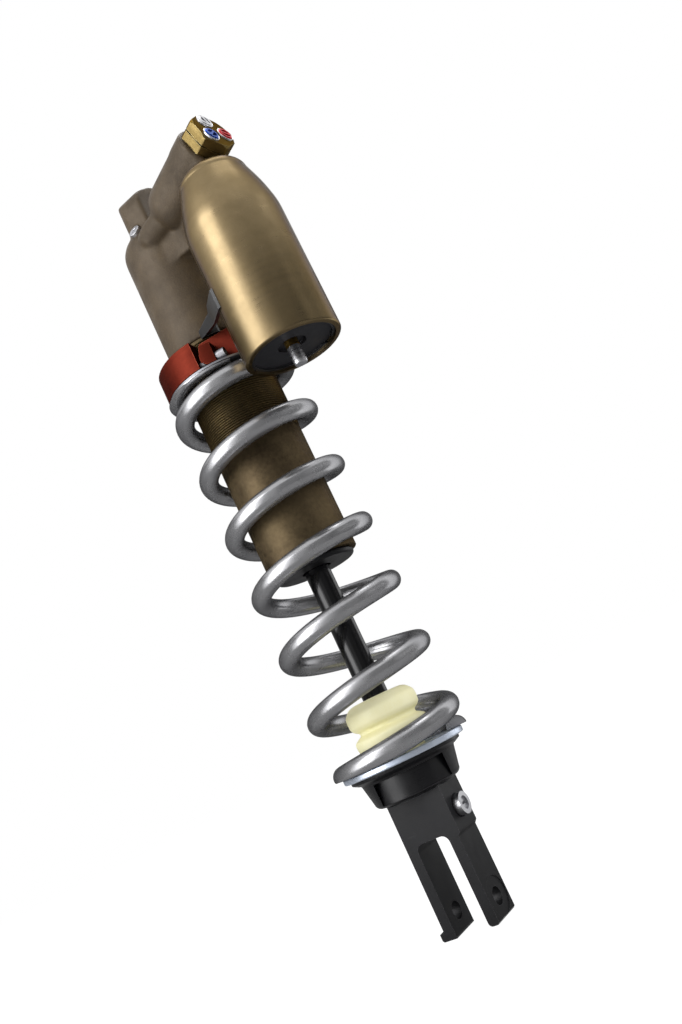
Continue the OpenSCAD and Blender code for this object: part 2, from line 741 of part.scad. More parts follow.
// Height of the wire's centre at u turns from the lower tip, before the ends are ground flat
function ramp(v, limits) = v < limits[0] ? 0
    : v < limits[1] ? pow(v - limits[0], 2) / (2 * (limits[1] - limits[0]))
    : v - (limits[0] + limits[1]) / 2;
function coil_z(u) = u < spring_turns / 2
    ? centre_low + low_pitch * u + (open_pitch - low_pitch) * ramp(u, low_ramp)
    : centre_top - top_pitch * (spring_turns - u)
        - (open_pitch - top_pitch) * ramp(spring_turns - u, top_ramp);
// Radius of the coils there, drawn in over the last two turns at each end
function coil_radius(u) = let (v = min(u, spring_turns - u))
    coil_r - (v < 2 ? end_inset * pow(1 - v / 2, 1.4) : 0);
coil_steps = ceil(spring_turns * rings_per_turn);
// A point of the wire's outline at one step: a circle, cut by the ground plane of the nearer end
function coil_point(k, side) = let (
        u = spring_turns * k / coil_steps,
        low = u < spring_turns / 2,
        a = spring_tip_az + 360 * u,
        inside = low ? coil_z(u) - spring_bottom : spring_top - coil_z(u),
        cut = asin(max(-0.98, min(0.978, inside / wire_r))),
        i = low ? (side + wire_sides / 2) % wire_sides : side,
        b = (low ? -cut : 180 - cut) + (180 + 2 * cut) * i / (wire_sides - 1),
        r = coil_radius(u) + wire_r * cos(b))
    [r * cos(a), r * sin(a), coil_z(u) + wire_r * sin(b)];
module coil_spring() {
    last = coil_steps * wire_sides;
    points = [for (k = [0 : coil_steps]) for (side = [0 : wire_sides - 1]) coil_point(k, side)];
    walls = [for (k = [0 : coil_steps - 1]) for (side = [0 : wire_sides - 1]) let (
            a = k * wire_sides + side, b = k * wire_sides + (side + 1) % wire_sides,
            c = b + wire_sides, d = a + wire_sides) each [[a, b, c], [a, c, d]]];
    caps = [for (i = [1 : wire_sides - 2]) each [[0, i + 1, i], [last, last + i, last + i + 1]]];
    color("lightslategray") polyhedron(points = points, faces = concat(walls, caps), convexity = 10);
}
// Least gap between the wire's surface and itself, measured on the points of its centre line
function coil_centre(k) = let (u = spring_turns * k / coil_steps, a = spring_tip_az + 360 * u)
    [coil_radius(u) * cos(a), coil_radius(u) * sin(a), coil_z(u)];
least_gap = min([for (i = [0 : coil_steps - rings_per_turn / 2])
    for (j = [i + rings_per_turn / 2 : coil_steps]) norm(coil_centre(i) - coil_centre(j))]) - wire_d;
echo(least_gap_of_the_spring_to_itself_mm = least_gap);  // coil_spring

module seal_head() {
    color("silver") difference() {
        disc(bore_r - seat_gap, seal_bottom, seal_top);
        disc(wiper_r, seal_bottom - 1, seal_bottom + wiper_h);
        disc(oil_seal_r, seal_bottom, seal_bottom + wiper_h + oil_seal_h);
        disc(bush_r, seal_bottom, seal_bottom + wiper_h + oil_seal_h + bush_h);
        disc(shaft_r + 0.6, seal_bottom, seal_top + 1);
        tube(bore_r + 1, bore_r - groove_depth, seal_bottom + 9, seal_bottom + 9 + groove_w);
    }
}

module seal_head_o_ring() {
    color("black")
        o_ring(bore_r - groove_depth / 2, groove_depth / 2 - seat_gap, seal_bottom + 9 + groove_w / 2);
}

module seal_circlip() {
    low = circlip_z + seat_gap;
    color("gray") snap_ring(bore_r + 1, bore_r - 1.6, low, low + circlip_t, 8, 90);
}

module dust_wiper() {
    low = seal_bottom + seat_gap;
    color("black") tube(wiper_r - seat_gap, shaft_r + run_gap, low, low + wiper_h - 2 * seat_gap);
}

module oil_seal() {
    low = seal_bottom + wiper_h + seat_gap;
    color("darkgreen") tube(oil_seal_r - seat_gap, shaft_r + run_gap, low, low + oil_seal_h - 2 * seat_gap);
}

module guide_bush() {
    low = seal_bottom + wiper_h + oil_seal_h + seat_gap;
    color("goldenrod") tube(bush_r - seat_gap, shaft_r + run_gap * 0.6, low, low + bush_h - 2 * seat_gap);
}

module end_cap() {
    color([0.09, 0.09, 0.1]) difference() {
        rotate_extrude() polygon(concat(
            [[0, -tube_end - end_cap_h]],
            arc(end_cap_d / 2 - 2, -tube_end - end_cap_h + 2, 2, -90, 0, 5),
            [[end_cap_d / 2, -tube_end - 1.2], [end_cap_d / 2 - 0.5, -tube_end - 0.8],
             [end_cap_d / 2 - 1, -tube_end - seat_gap], [bore_r - seat_gap, -tube_end - seat_gap],
             [bore_r - seat_gap, circlip_z - seat_gap], [0, circlip_z - seat_gap]]));
        disc(shaft_r + 1.5, -tube_end - end_cap_h - 1, circlip_z + 1);
        disc(bore_r - 5, -tube_end, circlip_z + 1);
    }
}

module top_out_rubber() {
    color([0.15, 0.15, 0.15]) tube(bore_r - 3, shaft_r + 1.5, seal_top + seat_gap, rubber_top);
}

module shaft() {
    color([0.12, 0.12, 0.13]) difference() {
        union() {
            disc(shaft_r, shaft_low, stack_bottom);
            disc(spigot_d / 2, stack_bottom - 1, shaft_top);
        }
        disc(push_rod_d / 2 + run_gap, shaft_low - 1, shaft_top - 14);
        disc(1.5, shaft_top - 15, shaft_top + 1);
        translate([0, 0, stack_bottom - 12]) rotate([0, 90, 0])
            cylinder(h = shaft_d + 2, r = 1.6, center = true, $fn = 24);
    }
}

module stop_washer() {
    color("silver")
        tube(bore_r - 4, spigot_d / 2 + seat_gap, stack_bottom + seat_gap, stack_bottom + washer_t);
}

module shim_stack(z, up) {
    for (i = [0 : 3]) let (step = shim_t / 4, k = up ? i : 3 - i)
        translate([0, 0, z + i * step])
            tube(bore_r - 5 - k * 1.6, spigot_d / 2 + seat_gap, 0, step - seat_gap / 2);
}
module rebound_shims() { color("silver") shim_stack(stack_bottom + washer_t + seat_gap, false); }
module compression_shims() { color("silver") shim_stack(piston_top + seat_gap, true); }

module piston() {
    color("silver") difference() {
        disc(bore_r - 0.4, piston_z, piston_top);
        tube(bore_r + 1, band_in_r - run_gap, piston_z + (piston_h - band_w) / 2 - 0.1,
            piston_z + (piston_h + band_w) / 2 + 0.1);
        disc(spigot_d / 2 + seat_gap, piston_z - 1, piston_top + 1);
        for (a = [0 : 60 : 300]) rotate([0, 0, a]) translate([bore_r - 8, 0, piston_z - 1])
            cylinder(h = piston_h + 2, r = 2.4, $fn = 24);
    }
}

module piston_band() {
    low = piston_z + (piston_h - band_w) / 2;
    color([0.25, 0.2, 0.1]) tube(band_r, band_in_r, low, low + band_w);
}

module piston_nut() {
    color("gray") difference() {
        translate([0, 0, nut_z]) cylinder(h = nut_h, r = 11, $fn = 6);
        disc(spigot_d / 2 + seat_gap, nut_z - 1, nut_z + nut_h + 1);
    }
}

// Heights in the bump rubber's outline are measured down from its top
module bump_rubber() {
    r = bump_d / 2;
    color("palegoldenrod") difference() {
        translate([0, 0, bump_top]) rotate_extrude() polygon([
            [0, 0], [r - 7, 0], [r - 4.2, -1.4], [r - 1.2, -5], [r - 0.7, -8], [r - 1, -12],
            [r - 2.4, -14.2], [r - 5, -15.6], [r - 5.2, -17.6], [r - 2.4, -18.8], [r - 0.3, -20.4],
            [r, -22.5], [r - 0.2, -25.5], [r - 1.6, -28.2], [r - 6.5, -30], [r - 8, -31.5],
            [r - 8, -bump_h + seat_gap], [0, -bump_h + seat_gap]]);
        disc(shaft_r + 0.6, seat_web_top - 1, bump_top + 1);
    }
}

module lower_washer() {
    color("lightsteelblue") translate([0, 0, washer_bottom]) rotate_extrude() polygon([
        [bump_pocket_d / 2 + 1, 0], [lower_washer_d / 2 - 0.5, 0], [lower_washer_d / 2, 0.5],
        [lower_washer_d / 2, lower_washer_t - 0.5], [lower_washer_d / 2 - 0.5, lower_washer_t],
        [bump_pocket_d / 2 + 1, lower_washer_t]]);
}

seat_turn = 27.5;
window_w = 43;
module spring_seat() {
    top = washer_bottom - seat_gap;
    color([0.08, 0.08, 0.09]) difference() {
        rotate_extrude() polygon(concat(
            [[0, top], [seat_flange_d / 2, top], [seat_flange_d / 2 - 0.3, top - 2]],
            [[seat_flange_d / 2 - 3.5, top - 3.6], [seat_d / 2 + 0.4, top - 4], [seat_d / 2, top - 5]],
            arc(seat_d / 2 - 6, seat_bottom + 3.6, 3.6, 0, -90, 5), [[0, seat_bottom]]));
        disc(bump_pocket_d / 2, seat_web_top, top + 1);
        disc(head_disc_d / 2 + seat_gap, seat_bottom - 1, head_disc_top + seat_gap);
        disc(shaft_r + seat_gap, seat_bottom - 1, top + 1);
        // Recessed panels on two sides
        rotate([0, 0, seat_turn]) for (side = [0, 1]) rotate([0, 0, 180 * side]) intersection() {
            tube(seat_d, seat_d / 2 - 3.8, seat_bottom + 1.4, top - 5.2);
            translate([-window_w / 2, -seat_d, seat_bottom]) cube([window_w, seat_d, 40]);
        }
    }
}

lip_w = 3;
lip_h = 4.6;
spot_face = 0.6;
ear_round = 2.4;
module clevis() {
    block_top = head_disc_top - head_disc_h;
    d = clevis_depth / 2;
    slot_r = 4.5;
    g = clevis_gap / 2;
    front = concat(
        [[-clevis_half_w, block_top + 1], [-clevis_half_w, lower_z - ear_r + lip_h],
         [-clevis_half_w - lip_w, lower_z - ear_r + lip_h], [-clevis_half_w - lip_w, lower_z - ear_r + 1],
         [-clevis_half_w - lip_w + 1, lower_z - ear_r], [-g, lower_z - ear_r]],
        arc(-g + slot_r, slot_top - slot_r, slot_r, 180, 90),
        arc(g - slot_r, slot_top - slot_r, slot_r, 90, 0),
        arc(g + ear_round, lower_z - ear_r + ear_round, ear_round, 180, 270, 5),
        [[clevis_half_w - 1, lower_z - ear_r], [clevis_half_w, lower_z - ear_r + 1],
         [clevis_half_w, step_z - 2], [block_face_x, step_z], [block_face_x, block_top + 1]]);
    color([0.07, 0.07, 0.07]) difference() {
        union() {
            translate([0, d, 0]) rotate([90, 0, 0]) linear_extrude(height = clevis_depth) polygon(front);
            disc(head_disc_d / 2, block_top, head_disc_top);
        }
        // Socket for the shaft, the bore of the rebound adjuster and its counterbore
        disc(shaft_r + seat_gap, shaft_low - seat_gap, head_disc_top + 1);
        disc(push_rod_d / 2 + 1, rebound_z, head_disc_top);
        translate([-3, 0, rebound_z]) along_x() cylinder(h = block_face_x + 6, r = rebound_r + run_gap);
        translate([block_face_x - 3, 0, rebound_z]) along_x() cylinder(h = 10, d = rebound_head_d + 0.8);
        // Bolt holes through both ears
        translate([-clevis_half_w - 10, 0, lower_z]) along_x()
            cylinder(h = 2 * clevis_half_w + 20, d = clevis_bolt_d);
        // Spot face around the bolt hole
        translate([clevis_half_w - spot_face, 0, lower_z]) along_x() cylinder(h = 5, r = ear_r - 0.3);
    }
}

module rebound_screw() {
    color("silver") translate([0, 0, rebound_z]) along_x() difference() {
        union() {
            translate([0, 0, -1.5]) cylinder(h = block_face_x + 2, r = rebound_r);
            translate([0, 0, block_face_x - 2.7]) cylinder(h = 3.5, r = 6);
            translate([0, 0, block_face_x + 0.4]) cylinder(h = 4, d = rebound_head_d);
        }
        translate([0, 0, block_face_x + 3]) cylinder(h = 3, r = 3.8);
        translate([-0.7, -3.4, block_face_x + 1.6]) cube([1.4, 6.8, 3]);
        translate([0, 0, block_face_x - 6]) tube(5, 3.2, 0, 1.6);
        // Cam flat on which the push rod rests
        translate([-6, -5, -2]) cube([4, 10, 6]);
    }
}

module rebound_o_ring() {
    color("black") translate([0, 0, rebound_z]) along_x() o_ring(3.62, 0.36, block_face_x - 5.2);
}

module rebound_push_rod() {
    color("silver") {
        disc(push_rod_d / 2, rebound_z + 4.1, shaft_top - 21);
        translate([0, 0, shaft_top - 21.01]) cylinder(h = 5, r1 = push_rod_d / 2, r2 = 0.8);
    }
}

head_casting();
damper_tube();
reservoir_shell();
reservoir_cap();
reservoir_circlip();
cap_o_ring();
gas_bladder();
valve_stem();
valve_pin();
valve_cap();
reservoir_stay();
adjuster_body();
dial_silver();
dial_blue();
dial_red();
adjuster_needle();
adjuster_piston();
adjuster_shims();
adjuster_o_ring();
bleed_screw();
bearing_race();
bearing_circlips();
eye_seals();
eye_ball();
eye_collars();
preload_ring();
clamp_bolt();
thrust_washer();
coil_spring();
seal_head();
seal_head_o_ring();
seal_circlip();
guide_bush();
oil_seal();
dust_wiper();
end_cap();
top_out_rubber();
shaft();
piston();
piston_band();
piston_nut();
compression_shims();
rebound_shims();
stop_washer();
bump_rubber();
lower_washer();
spring_seat();
clevis();
rebound_screw();
rebound_push_rod();
rebound_o_ring();
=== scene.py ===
"""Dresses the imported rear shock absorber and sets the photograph's view of it.

Lengths in the classes are millimetres in the part's frame: the origin is the centre of the upper
eye, +Z runs up the damper and +X runs along the bolts. Meshes are built in metres.
"""

from __future__ import annotations

import json
import logging
import math
from dataclasses import dataclass, field
from enum import Enum
from typing import Callable, Iterable, Sequence

import bmesh
import bpy
from mathutils import Matrix, Vector

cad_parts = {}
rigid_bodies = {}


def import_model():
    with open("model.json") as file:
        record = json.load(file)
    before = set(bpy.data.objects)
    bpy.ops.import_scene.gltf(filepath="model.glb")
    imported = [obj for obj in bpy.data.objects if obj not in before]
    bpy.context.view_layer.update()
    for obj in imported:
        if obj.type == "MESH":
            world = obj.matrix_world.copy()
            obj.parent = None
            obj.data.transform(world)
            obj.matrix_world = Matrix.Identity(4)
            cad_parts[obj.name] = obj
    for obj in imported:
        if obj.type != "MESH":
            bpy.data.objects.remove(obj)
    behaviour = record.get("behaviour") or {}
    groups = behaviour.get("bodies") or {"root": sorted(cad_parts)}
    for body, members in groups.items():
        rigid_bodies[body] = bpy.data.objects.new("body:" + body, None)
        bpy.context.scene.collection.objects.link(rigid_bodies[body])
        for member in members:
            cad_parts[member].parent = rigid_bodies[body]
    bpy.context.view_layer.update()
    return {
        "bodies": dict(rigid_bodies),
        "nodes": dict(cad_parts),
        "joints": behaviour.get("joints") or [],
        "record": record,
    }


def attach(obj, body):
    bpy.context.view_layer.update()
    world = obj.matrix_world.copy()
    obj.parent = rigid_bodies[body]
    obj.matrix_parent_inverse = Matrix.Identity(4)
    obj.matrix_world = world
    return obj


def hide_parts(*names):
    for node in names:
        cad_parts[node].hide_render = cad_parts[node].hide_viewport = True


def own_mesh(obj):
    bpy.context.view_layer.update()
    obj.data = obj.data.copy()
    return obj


MM = 0.001
UP = (0.0, 0.0, 1.0)
ALONG_BOLTS = (1.0, 0.0, 0.0)
ALONG_ADJUSTER = (0.9546, -0.2012, 0.2198)
WHITE = (1.0, 1.0, 1.0, 1.0)
LOG = logging.getLogger("shock_absorber")
Colour = tuple[float, float, float, float]
Point = tuple[float, float]
Shape = bmesh.types.BMesh
Socket = bpy.types.NodeSocket


def srgb(code: str) -> Colour:
    """Returns the linear colour that shaders use for a screen colour's six hexadecimal digits."""
    parts = [int(code[i : i + 2], 16) / 255 for i in (0, 2, 4)]
    return tuple(c / 12.92 if c <= 0.04045 else ((c + 0.055) / 1.055) ** 2.4 for c in parts) + (1.0,)


@dataclass(frozen=True)
class Net:
    """A node tree with short ways to add nodes and join them."""

    tree: bpy.types.NodeTree

    @classmethod
    def emptied(cls, block: bpy.types.Material | bpy.types.World) -> Net:
        """Switches a material's or a world's nodes on, clears them and returns their net."""
        block.use_nodes = True
        block.node_tree.nodes.clear()
        return cls(block.node_tree)

    def fill(self, node: bpy.types.Node, values: dict) -> None:
        """Sets a node's inputs.

        Args:
            node: the node.
            values: a socket to join or a value to set, by the input's name or number; None is skipped.
        """
        for key, value in values.items():
            if isinstance(value, Socket):
                self.tree.links.new(value, node.inputs[key])
            elif value is not None:
                node.inputs[key].default_value = value

    def add(self, kind: str, *sources: object, named: dict | None = None,
            **settings: object) -> bpy.types.Node:
        """Adds a node.

        Args:
            kind: the node's type.
            sources: what goes into its first inputs, as for fill.
            named: what goes into other inputs, as for fill.
            settings: the node's own settings.

        Returns:
            The node.
        """
        node = self.tree.nodes.new(kind)
        for name, value in settings.items():
            setattr(node, name, value)
        self.fill(node, {**dict(enumerate(sources)), **(named or {})})
        return node

    def maths(self, kind: str, a: object, b: object = None, clamp: bool = False) -> Socket:
        """Returns what a Math node makes of one or two sockets or numbers, clamped to 0..1 on request."""
        return self.add("ShaderNodeMath", a, b, operation=kind, use_clamp=clamp).outputs[0]

    def times(self, a: object, b: object) -> Socket:
        """Returns the product of two sockets or numbers."""
        return self.maths("MULTIPLY", a, b)

    def plus(self, a: object, b: object) -> Socket:
        """Returns the sum of two sockets or numbers."""
        return self.maths("ADD", a, b)

    def minus(self, a: object, b: object) -> Socket:
        """Returns the difference of two sockets or numbers."""
        return self.maths("SUBTRACT", a, b)

    def dot(self, a: object, b: object) -> Socket:
        """Returns the dot product of two vector sockets."""
        return self.add("ShaderNodeVectorMath", a, b, operation="DOT_PRODUCT").outputs["Value"]

    def noise(self, vector: object, scale: object, detail: float, rough: float = 0.55) -> Socket:
        """Returns a noise texture's value; its scale is in features per metre."""
        named = {"Vector": vector, "Scale": scale, "Detail": detail, "Roughness": rough}
        return self.add("ShaderNodeTexNoise", named=named).outputs["Fac"]

    def noise_line(self, place: object, detail: float) -> Socket:
        """Returns noise that varies along one number, with one feature per unit."""
        named = {"W": place, "Scale": 1.0, "Detail": detail}
        return self.add("ShaderNodeTexNoise", named=named, noise_dimensions="1D").outputs["Fac"]

    def spread(self, value: object, low: float, high: float) -> Socket:
        """Returns a socket's value with low..high mapped to 0..1 and clamped."""
        named = {"Value": value, "From Min": low, "From Max": high}
        return self.add("ShaderNodeMapRange", named=named, clamp=True).outputs["Result"]

    def mix(self, share: object, first: bpy.types.Node, second: bpy.types.Node) -> bpy.types.Node:
        """Returns the node that mixes two shaders' nodes by the share of the second one."""
        return self.add("ShaderNodeMixShader", share, first.outputs[0], second.outputs[0])

    def blend(self, share: object, first: object, second: object) -> Socket:
        """Returns two colours or sockets mixed by the share of the second one."""
        return self.add("ShaderNodeMix", share, named={6: first, 7: second}, data_type="RGBA").outputs[2]

    def seen_by_eye(self) -> Socket:
        """Returns a mask that is 1 for what the camera sees, straight or in a reflection."""
        path = self.add("ShaderNodeLightPath").outputs
        return self.maths("MAXIMUM", path["Is Camera Ray"], path["Is Glossy Ray"])

    def sockets(self, inputs: dict[str, float | None], outputs: Sequence[str]) -> tuple:
        """Gives a shader group its named sockets.

        Args:
            inputs: input names with their default values, or None for a vector.
            outputs: names of the value outputs.

        Returns:
            The input node's sockets by name, and the output node.
        """
        for name, value in inputs.items():
            kind = "NodeSocketVector" if value is None else "NodeSocketFloat"
            socket = self.tree.interface.new_socket(name=name, in_out="INPUT", socket_type=kind)
            if value is not None:
                socket.default_value = value
        for name in outputs:
            self.tree.interface.new_socket(name=name, in_out="OUTPUT", socket_type="NodeSocketFloat")
        return self.add("NodeGroupInput").outputs, self.add("NodeGroupOutput")


# Node groups for the effects that several finishes share


class Effect(Enum):
    """The surface effects that are built once and placed in many materials."""

    CAST_SKIN = "cast skin"
    TURNED_LINES = "turned lines"
    SCUFFS = "scuffs"
    EDGE_WEAR_AND_HIGHLIGHT = "edge wear and painted highlight"


class EffectShelf:
    """Builds each shared effect once and hands out its node group."""

    def __init__(self) -> None:
        """Starts with no group built."""
        self.built: dict[Effect, bpy.types.NodeTree] = {}
        self.makers: dict[Effect, Callable[[Net], None]] = {
            Effect.CAST_SKIN: self.cast_skin,
            Effect.TURNED_LINES: self.turned_lines,
            Effect.SCUFFS: self.scuffs,
            Effect.EDGE_WEAR_AND_HIGHLIGHT: self.edge_wear_and_highlight,
        }

    def place(self, net: Net, effect: Effect, values: dict) -> bpy.types.NodeOutputs:
        """Places a shared effect in a material, building its group on first use.

        Args:
            net: the material's nodes.
            effect: which effect.
            values: what goes into its inputs.

        Returns:
            The effect's outputs by name.
        """
        if effect not in self.built:
            self.built[effect] = bpy.data.node_groups.new(effect.value, "ShaderNodeTree")
            self.makers[effect](Net(self.built[effect]))
        return net.add("ShaderNodeGroup", named=values, node_tree=self.built[effect]).outputs

    @staticmethod
    def cast_skin(net: Net) -> None:
        """Builds the skin of a casting: fine grain, shallow pits and broad mottling.

        Args:
            net: the group's empty nodes.
        """
        given, out = net.sockets({"Vector": None, "Scale": 900.0}, ("Height", "Mottle"))
        where, scale = given["Vector"], given["Scale"]
        pits_per_grain, patches_per_grain = 0.22, 0.045
        fine = net.noise(where, scale, 4.0, 0.6)
        pits = net.noise(where, net.times(scale, pits_per_grain), 2.0)
        patches = net.noise(where, net.times(scale, patches_per_grain), 3.0, 0.6)
        mottle = net.plus(net.times(patches, 0.65), net.times(fine, 0.35))
        height = net.plus(fine, net.times(pits, 0.8))
        net.fill(out, {"Height": height, "Mottle": net.spread(mottle, 0.32, 0.68)})

    @staticmethod
    def turned_lines(net: Net) -> None:
        """Builds the fine rings that a lathe leaves, across the direction of Along.

        Args:
            net: the group's empty nodes.
        """
        given, out = net.sockets({"Vector": None, "Along": None, "Rings": 4000.0}, ("Height", "Streak"))
        bands_per_ring = 0.12
        place = net.times(net.dot(given["Vector"], given["Along"]), given["Rings"])
        rings = net.noise_line(place, 3.0)
        bands = net.noise_line(net.times(place, bands_per_ring), 2.0)
        net.fill(out, {"Height": rings, "Streak": net.spread(net.plus(rings, bands), 0.72, 1.28)})

    @staticmethod
    def scuffs(net: Net) -> None:
        """Builds smudges and short fine scratches from handling.

        Args:
            net: the group's empty nodes.
        """
        given, out = net.sockets({"Vector": None, "Scale": 60.0}, ("Smudge", "Scratch"))
        smudge = net.noise(given["Vector"], given["Scale"], 5.0, 0.62)
        stretch = {"Vector": given["Vector"], "Rotation": (0.5, 0.35, 0.8), "Scale": (1.0, 22.0, 5.0)}
        drawn_out = net.add("ShaderNodeMapping", named=stretch).outputs["Vector"]
        lines = net.noise(drawn_out, given["Scale"], 6.0, 0.7)
        net.fill(out, {"Smudge": net.spread(smudge, 0.38, 0.66), "Scratch": net.spread(lines, 0.64, 0.74)})

    @staticmethod
    def edge_wear_and_highlight(net: Net) -> None:
        """Builds a mask of the edges, for wear where a coating rubs through and for painted highlights along
        edges.

        Args:
            net: the group's empty nodes.
        """
        given, out = net.sockets({"Vector": None, "Width": 0.0006, "Break up": 700.0}, ("Mask",))
        raggedness = 9.0
        bevel = net.add("ShaderNodeBevel", given["Width"], samples=4).outputs["Normal"]
        flat = net.add("ShaderNodeNewGeometry").outputs["Normal"]
        bend = net.minus(1.0, net.dot(bevel, flat))
        rag = net.noise(given["Vector"], given["Break up"], 3.0)
        net.fill(out, {"Mask": net.spread(net.times(bend, net.times(rag, raggedness)), 0.12, 0.7)})


SHELF = EffectShelf()


@dataclass(frozen=True)
class Finish:
    """One finish of the object, with the detail that the real one shows.

    Colours are screen colours, grain and line spacings are features per metre, and depths are in
    millimetres. The rim colour tints what the surface reflects at a glancing angle.
    """

    name: str
    colour: str
    second: str
    metallic: float = 1.0
    roughness: float = 0.24
    rough_spread: float = 0.08
    grain: float = 1500.0
    grain_depth: float = 0.006
    turned: tuple[float, float, float] | None = None
    rings: float = 6000.0
    ring_depth: float = 0.003
    scuff_scale: float = 60.0
    scuffing: float = 0.25
    scratch_colour: str | None = None
    edge_colour: str | None = None
    edge_width: float = 0.2
    coat: float = 0.0
    coat_roughness: float = 0.1
    specular: float = 0.5
    rim: str | None = None

    def material(self) -> bpy.types.Material:
        """Returns this finish's material, built on first use."""
        found = bpy.data.materials.get(self.name + "_finish")
        return found if found else self.build()

    def build(self) -> bpy.types.Material:
        """Builds and returns the node material."""
        mat = bpy.data.materials.new(self.name + "_finish")
        net = Net.emptied(mat)
        where = net.add("ShaderNodeTexCoord").outputs["Object"]
        skin = SHELF.place(net, Effect.CAST_SKIN, {"Vector": where, "Scale": self.grain})
        scuffs = SHELF.place(net, Effect.SCUFFS, {"Vector": where, "Scale": self.scuff_scale})
        colour = net.blend(skin["Mottle"], srgb(self.colour), srgb(self.second))
        height = net.times(skin["Height"], self.grain_depth * MM)
        rough = net.times(skin["Mottle"], self.rough_spread)
        if self.turned is not None:
            along = net.add("ShaderNodeCombineXYZ", *self.turned).outputs[0]
            values = {"Vector": where, "Along": along, "Rings": self.rings}
            lines = SHELF.place(net, Effect.TURNED_LINES, values)
            height = net.plus(height, net.times(lines["Height"], self.ring_depth * MM))
            rough = net.plus(rough, net.times(lines["Streak"], self.rough_spread))
        smudge_dulling, least_roughness = 0.35, 0.04
        rough = net.plus(rough, net.times(scuffs["Smudge"], self.scuffing * smudge_dulling))
        rough = net.plus(rough, self.roughness - self.rough_spread * 0.5)
        if self.scratch_colour is not None:
            share = net.maths("MULTIPLY", scuffs["Scratch"], self.scuffing, clamp=True)
            colour = net.blend(share, colour, srgb(self.scratch_colour))
        # Edge colour on the edges: wear on some finishes, a painted highlight on the casting and the strip.
        if self.edge_colour is not None:
            edges = SHELF.place(net, Effect.EDGE_WEAR_AND_HIGHLIGHT, {"Vector": where, "Width": self.edge_width * MM})
            colour = net.blend(edges["Mask"], colour, srgb(self.edge_colour))
        bump = net.add("ShaderNodeBump", named={"Strength": 1.0, "Distance": 1.0, "Height": height})
        surface = net.add("ShaderNodeBsdfPrincipled", named={
            "Base Color": colour,
            "Metallic": self.metallic,
            "Roughness": net.maths("MAXIMUM", rough, least_roughness, clamp=True),
            "Normal": bump.outputs["Normal"],
            "Specular IOR Level": self.specular,
            "Specular Tint": None if self.rim is None else srgb(self.rim),
            "Coat Weight": self.coat,
            "Coat Roughness": self.coat_roughness,
        })
        net.add("ShaderNodeOutputMaterial", surface.outputs["BSDF"])
        return mat


# The casting's lighter edge colour is a painted highlight along its edges.
CASTING = Finish(
    "cast_coating", "51432f", "3a2f21", metallic=0.1, roughness=0.5, rough_spread=0.16, grain=1300.0,
    grain_depth=0.16, edge_colour="6a5e50", edge_width=0.35, specular=0.3,
)
RESERVOIR_BRONZE = Finish(
    "satin_bronze", "8a7857", "7c6b4b", roughness=0.27, rough_spread=0.06, grain=2600.0, turned=UP,
    rings=2500.0, scuffing=0.15, coat=0.45, coat_roughness=0.28, rim="5c523f",
)
TUBE_COAT = Finish(
    "mottled_tube_coat", "42382a", "635640", metallic=0.75, roughness=0.36, rough_spread=0.16, grain=420.0,
    grain_depth=0.01, turned=UP, rings=3000.0, ring_depth=0.006, scuffing=0.5, scratch_colour="857352",
    rim="3a3122",
)
THREAD_COAT = Finish(
    "thread_coat", "3a301f", "5c4e34", metallic=0.9, roughness=0.3, rough_spread=0.12, grain=500.0,
    grain_depth=0.008, scuffing=0.6, scratch_colour="a08a5c", edge_colour="b09a66", edge_width=0.3,
    rim="3a3122",
)
HEX_GOLD = Finish(
    "brushed_olive_gold", "7f6e47", "695a37", roughness=0.29, rough_spread=0.12, grain=3000.0,
    grain_depth=0.004, turned=ALONG_ADJUSTER, rings=5200.0, ring_depth=0.014, edge_colour="dccfa0",
    edge_width=0.25, rim="6e5f3a",
)
RING_RED = Finish(
    "red_anodised_ring", "5e2419", "501c14", metallic=0.85, roughness=0.34, grain=2400.0, turned=UP,
    rings=5000.0, ring_depth=0.006, scuffing=0.3, edge_colour="c86650", edge_width=0.3, rim="561c12",
)
DIAL_BLUE = Finish(
    "blue_anodised", "1f4fb0", "183f96", roughness=0.25, grain=3000.0, grain_depth=0.004,
    edge_colour="7fa5ee",
)
DIAL_RED = Finish(
    "red_anodised", "c9202b", "ad1822", roughness=0.25, grain=3000.0, grain_depth=0.004, edge_colour="f0707a",
)
BRIGHT_ALLOY = Finish(
    "bright_turned_alloy", "dcdcde", "cfcfd3", rough_spread=0.1, grain=2500.0, grain_depth=0.003, turned=UP,
    ring_depth=0.006, rim="9a9aa0",
)
DIAL_SILVER = Finish(
    "bright_dial_alloy", "e2e2e4", "d4d4d8", roughness=0.2, grain=2500.0, grain_depth=0.003,
    turned=ALONG_ADJUSTER, ring_depth=0.005,
)
SCREW_ALLOY = Finish(
    "bright_screw_alloy", "d9d9db", "c9c9cd", roughness=0.28, grain=2500.0, grain_depth=0.003,
    turned=ALONG_BOLTS, ring_depth=0.005, rim="8c8c92",
)
BLACK_ALLOY = Finish(
    "black_anodised", "0f0f11", "161619", metallic=0.2, roughness=0.4, rough_spread=0.1, grain_depth=0.01,
    scuffing=0.3, scratch_colour="343437", edge_colour="545458", edge_width=0.25, specular=0.25,
)
GLOSS_BLACK = Finish(
    "gloss_black_cup", "0d0d0f", "131316", metallic=0.2, rough_spread=0.06, grain_depth=0.004, turned=UP,
    rings=4000.0, edge_colour="4c4c50", specular=0.4,
)
BLACK_RIM = Finish(
    "black_turned_alloy", "111113", "19191c", metallic=0.3, roughness=0.32, turned=UP, rings=5000.0,
    ring_depth=0.006, edge_colour="505054", specular=0.3,
)
CHARCOAL = Finish(
    "charcoal_alloy", "38383b", "2e2e31", metallic=0.6, roughness=0.4, grain=1600.0, grain_depth=0.01,
    scuffing=0.3, edge_colour="77777b", edge_width=0.25, rim="4a4a4e",
)
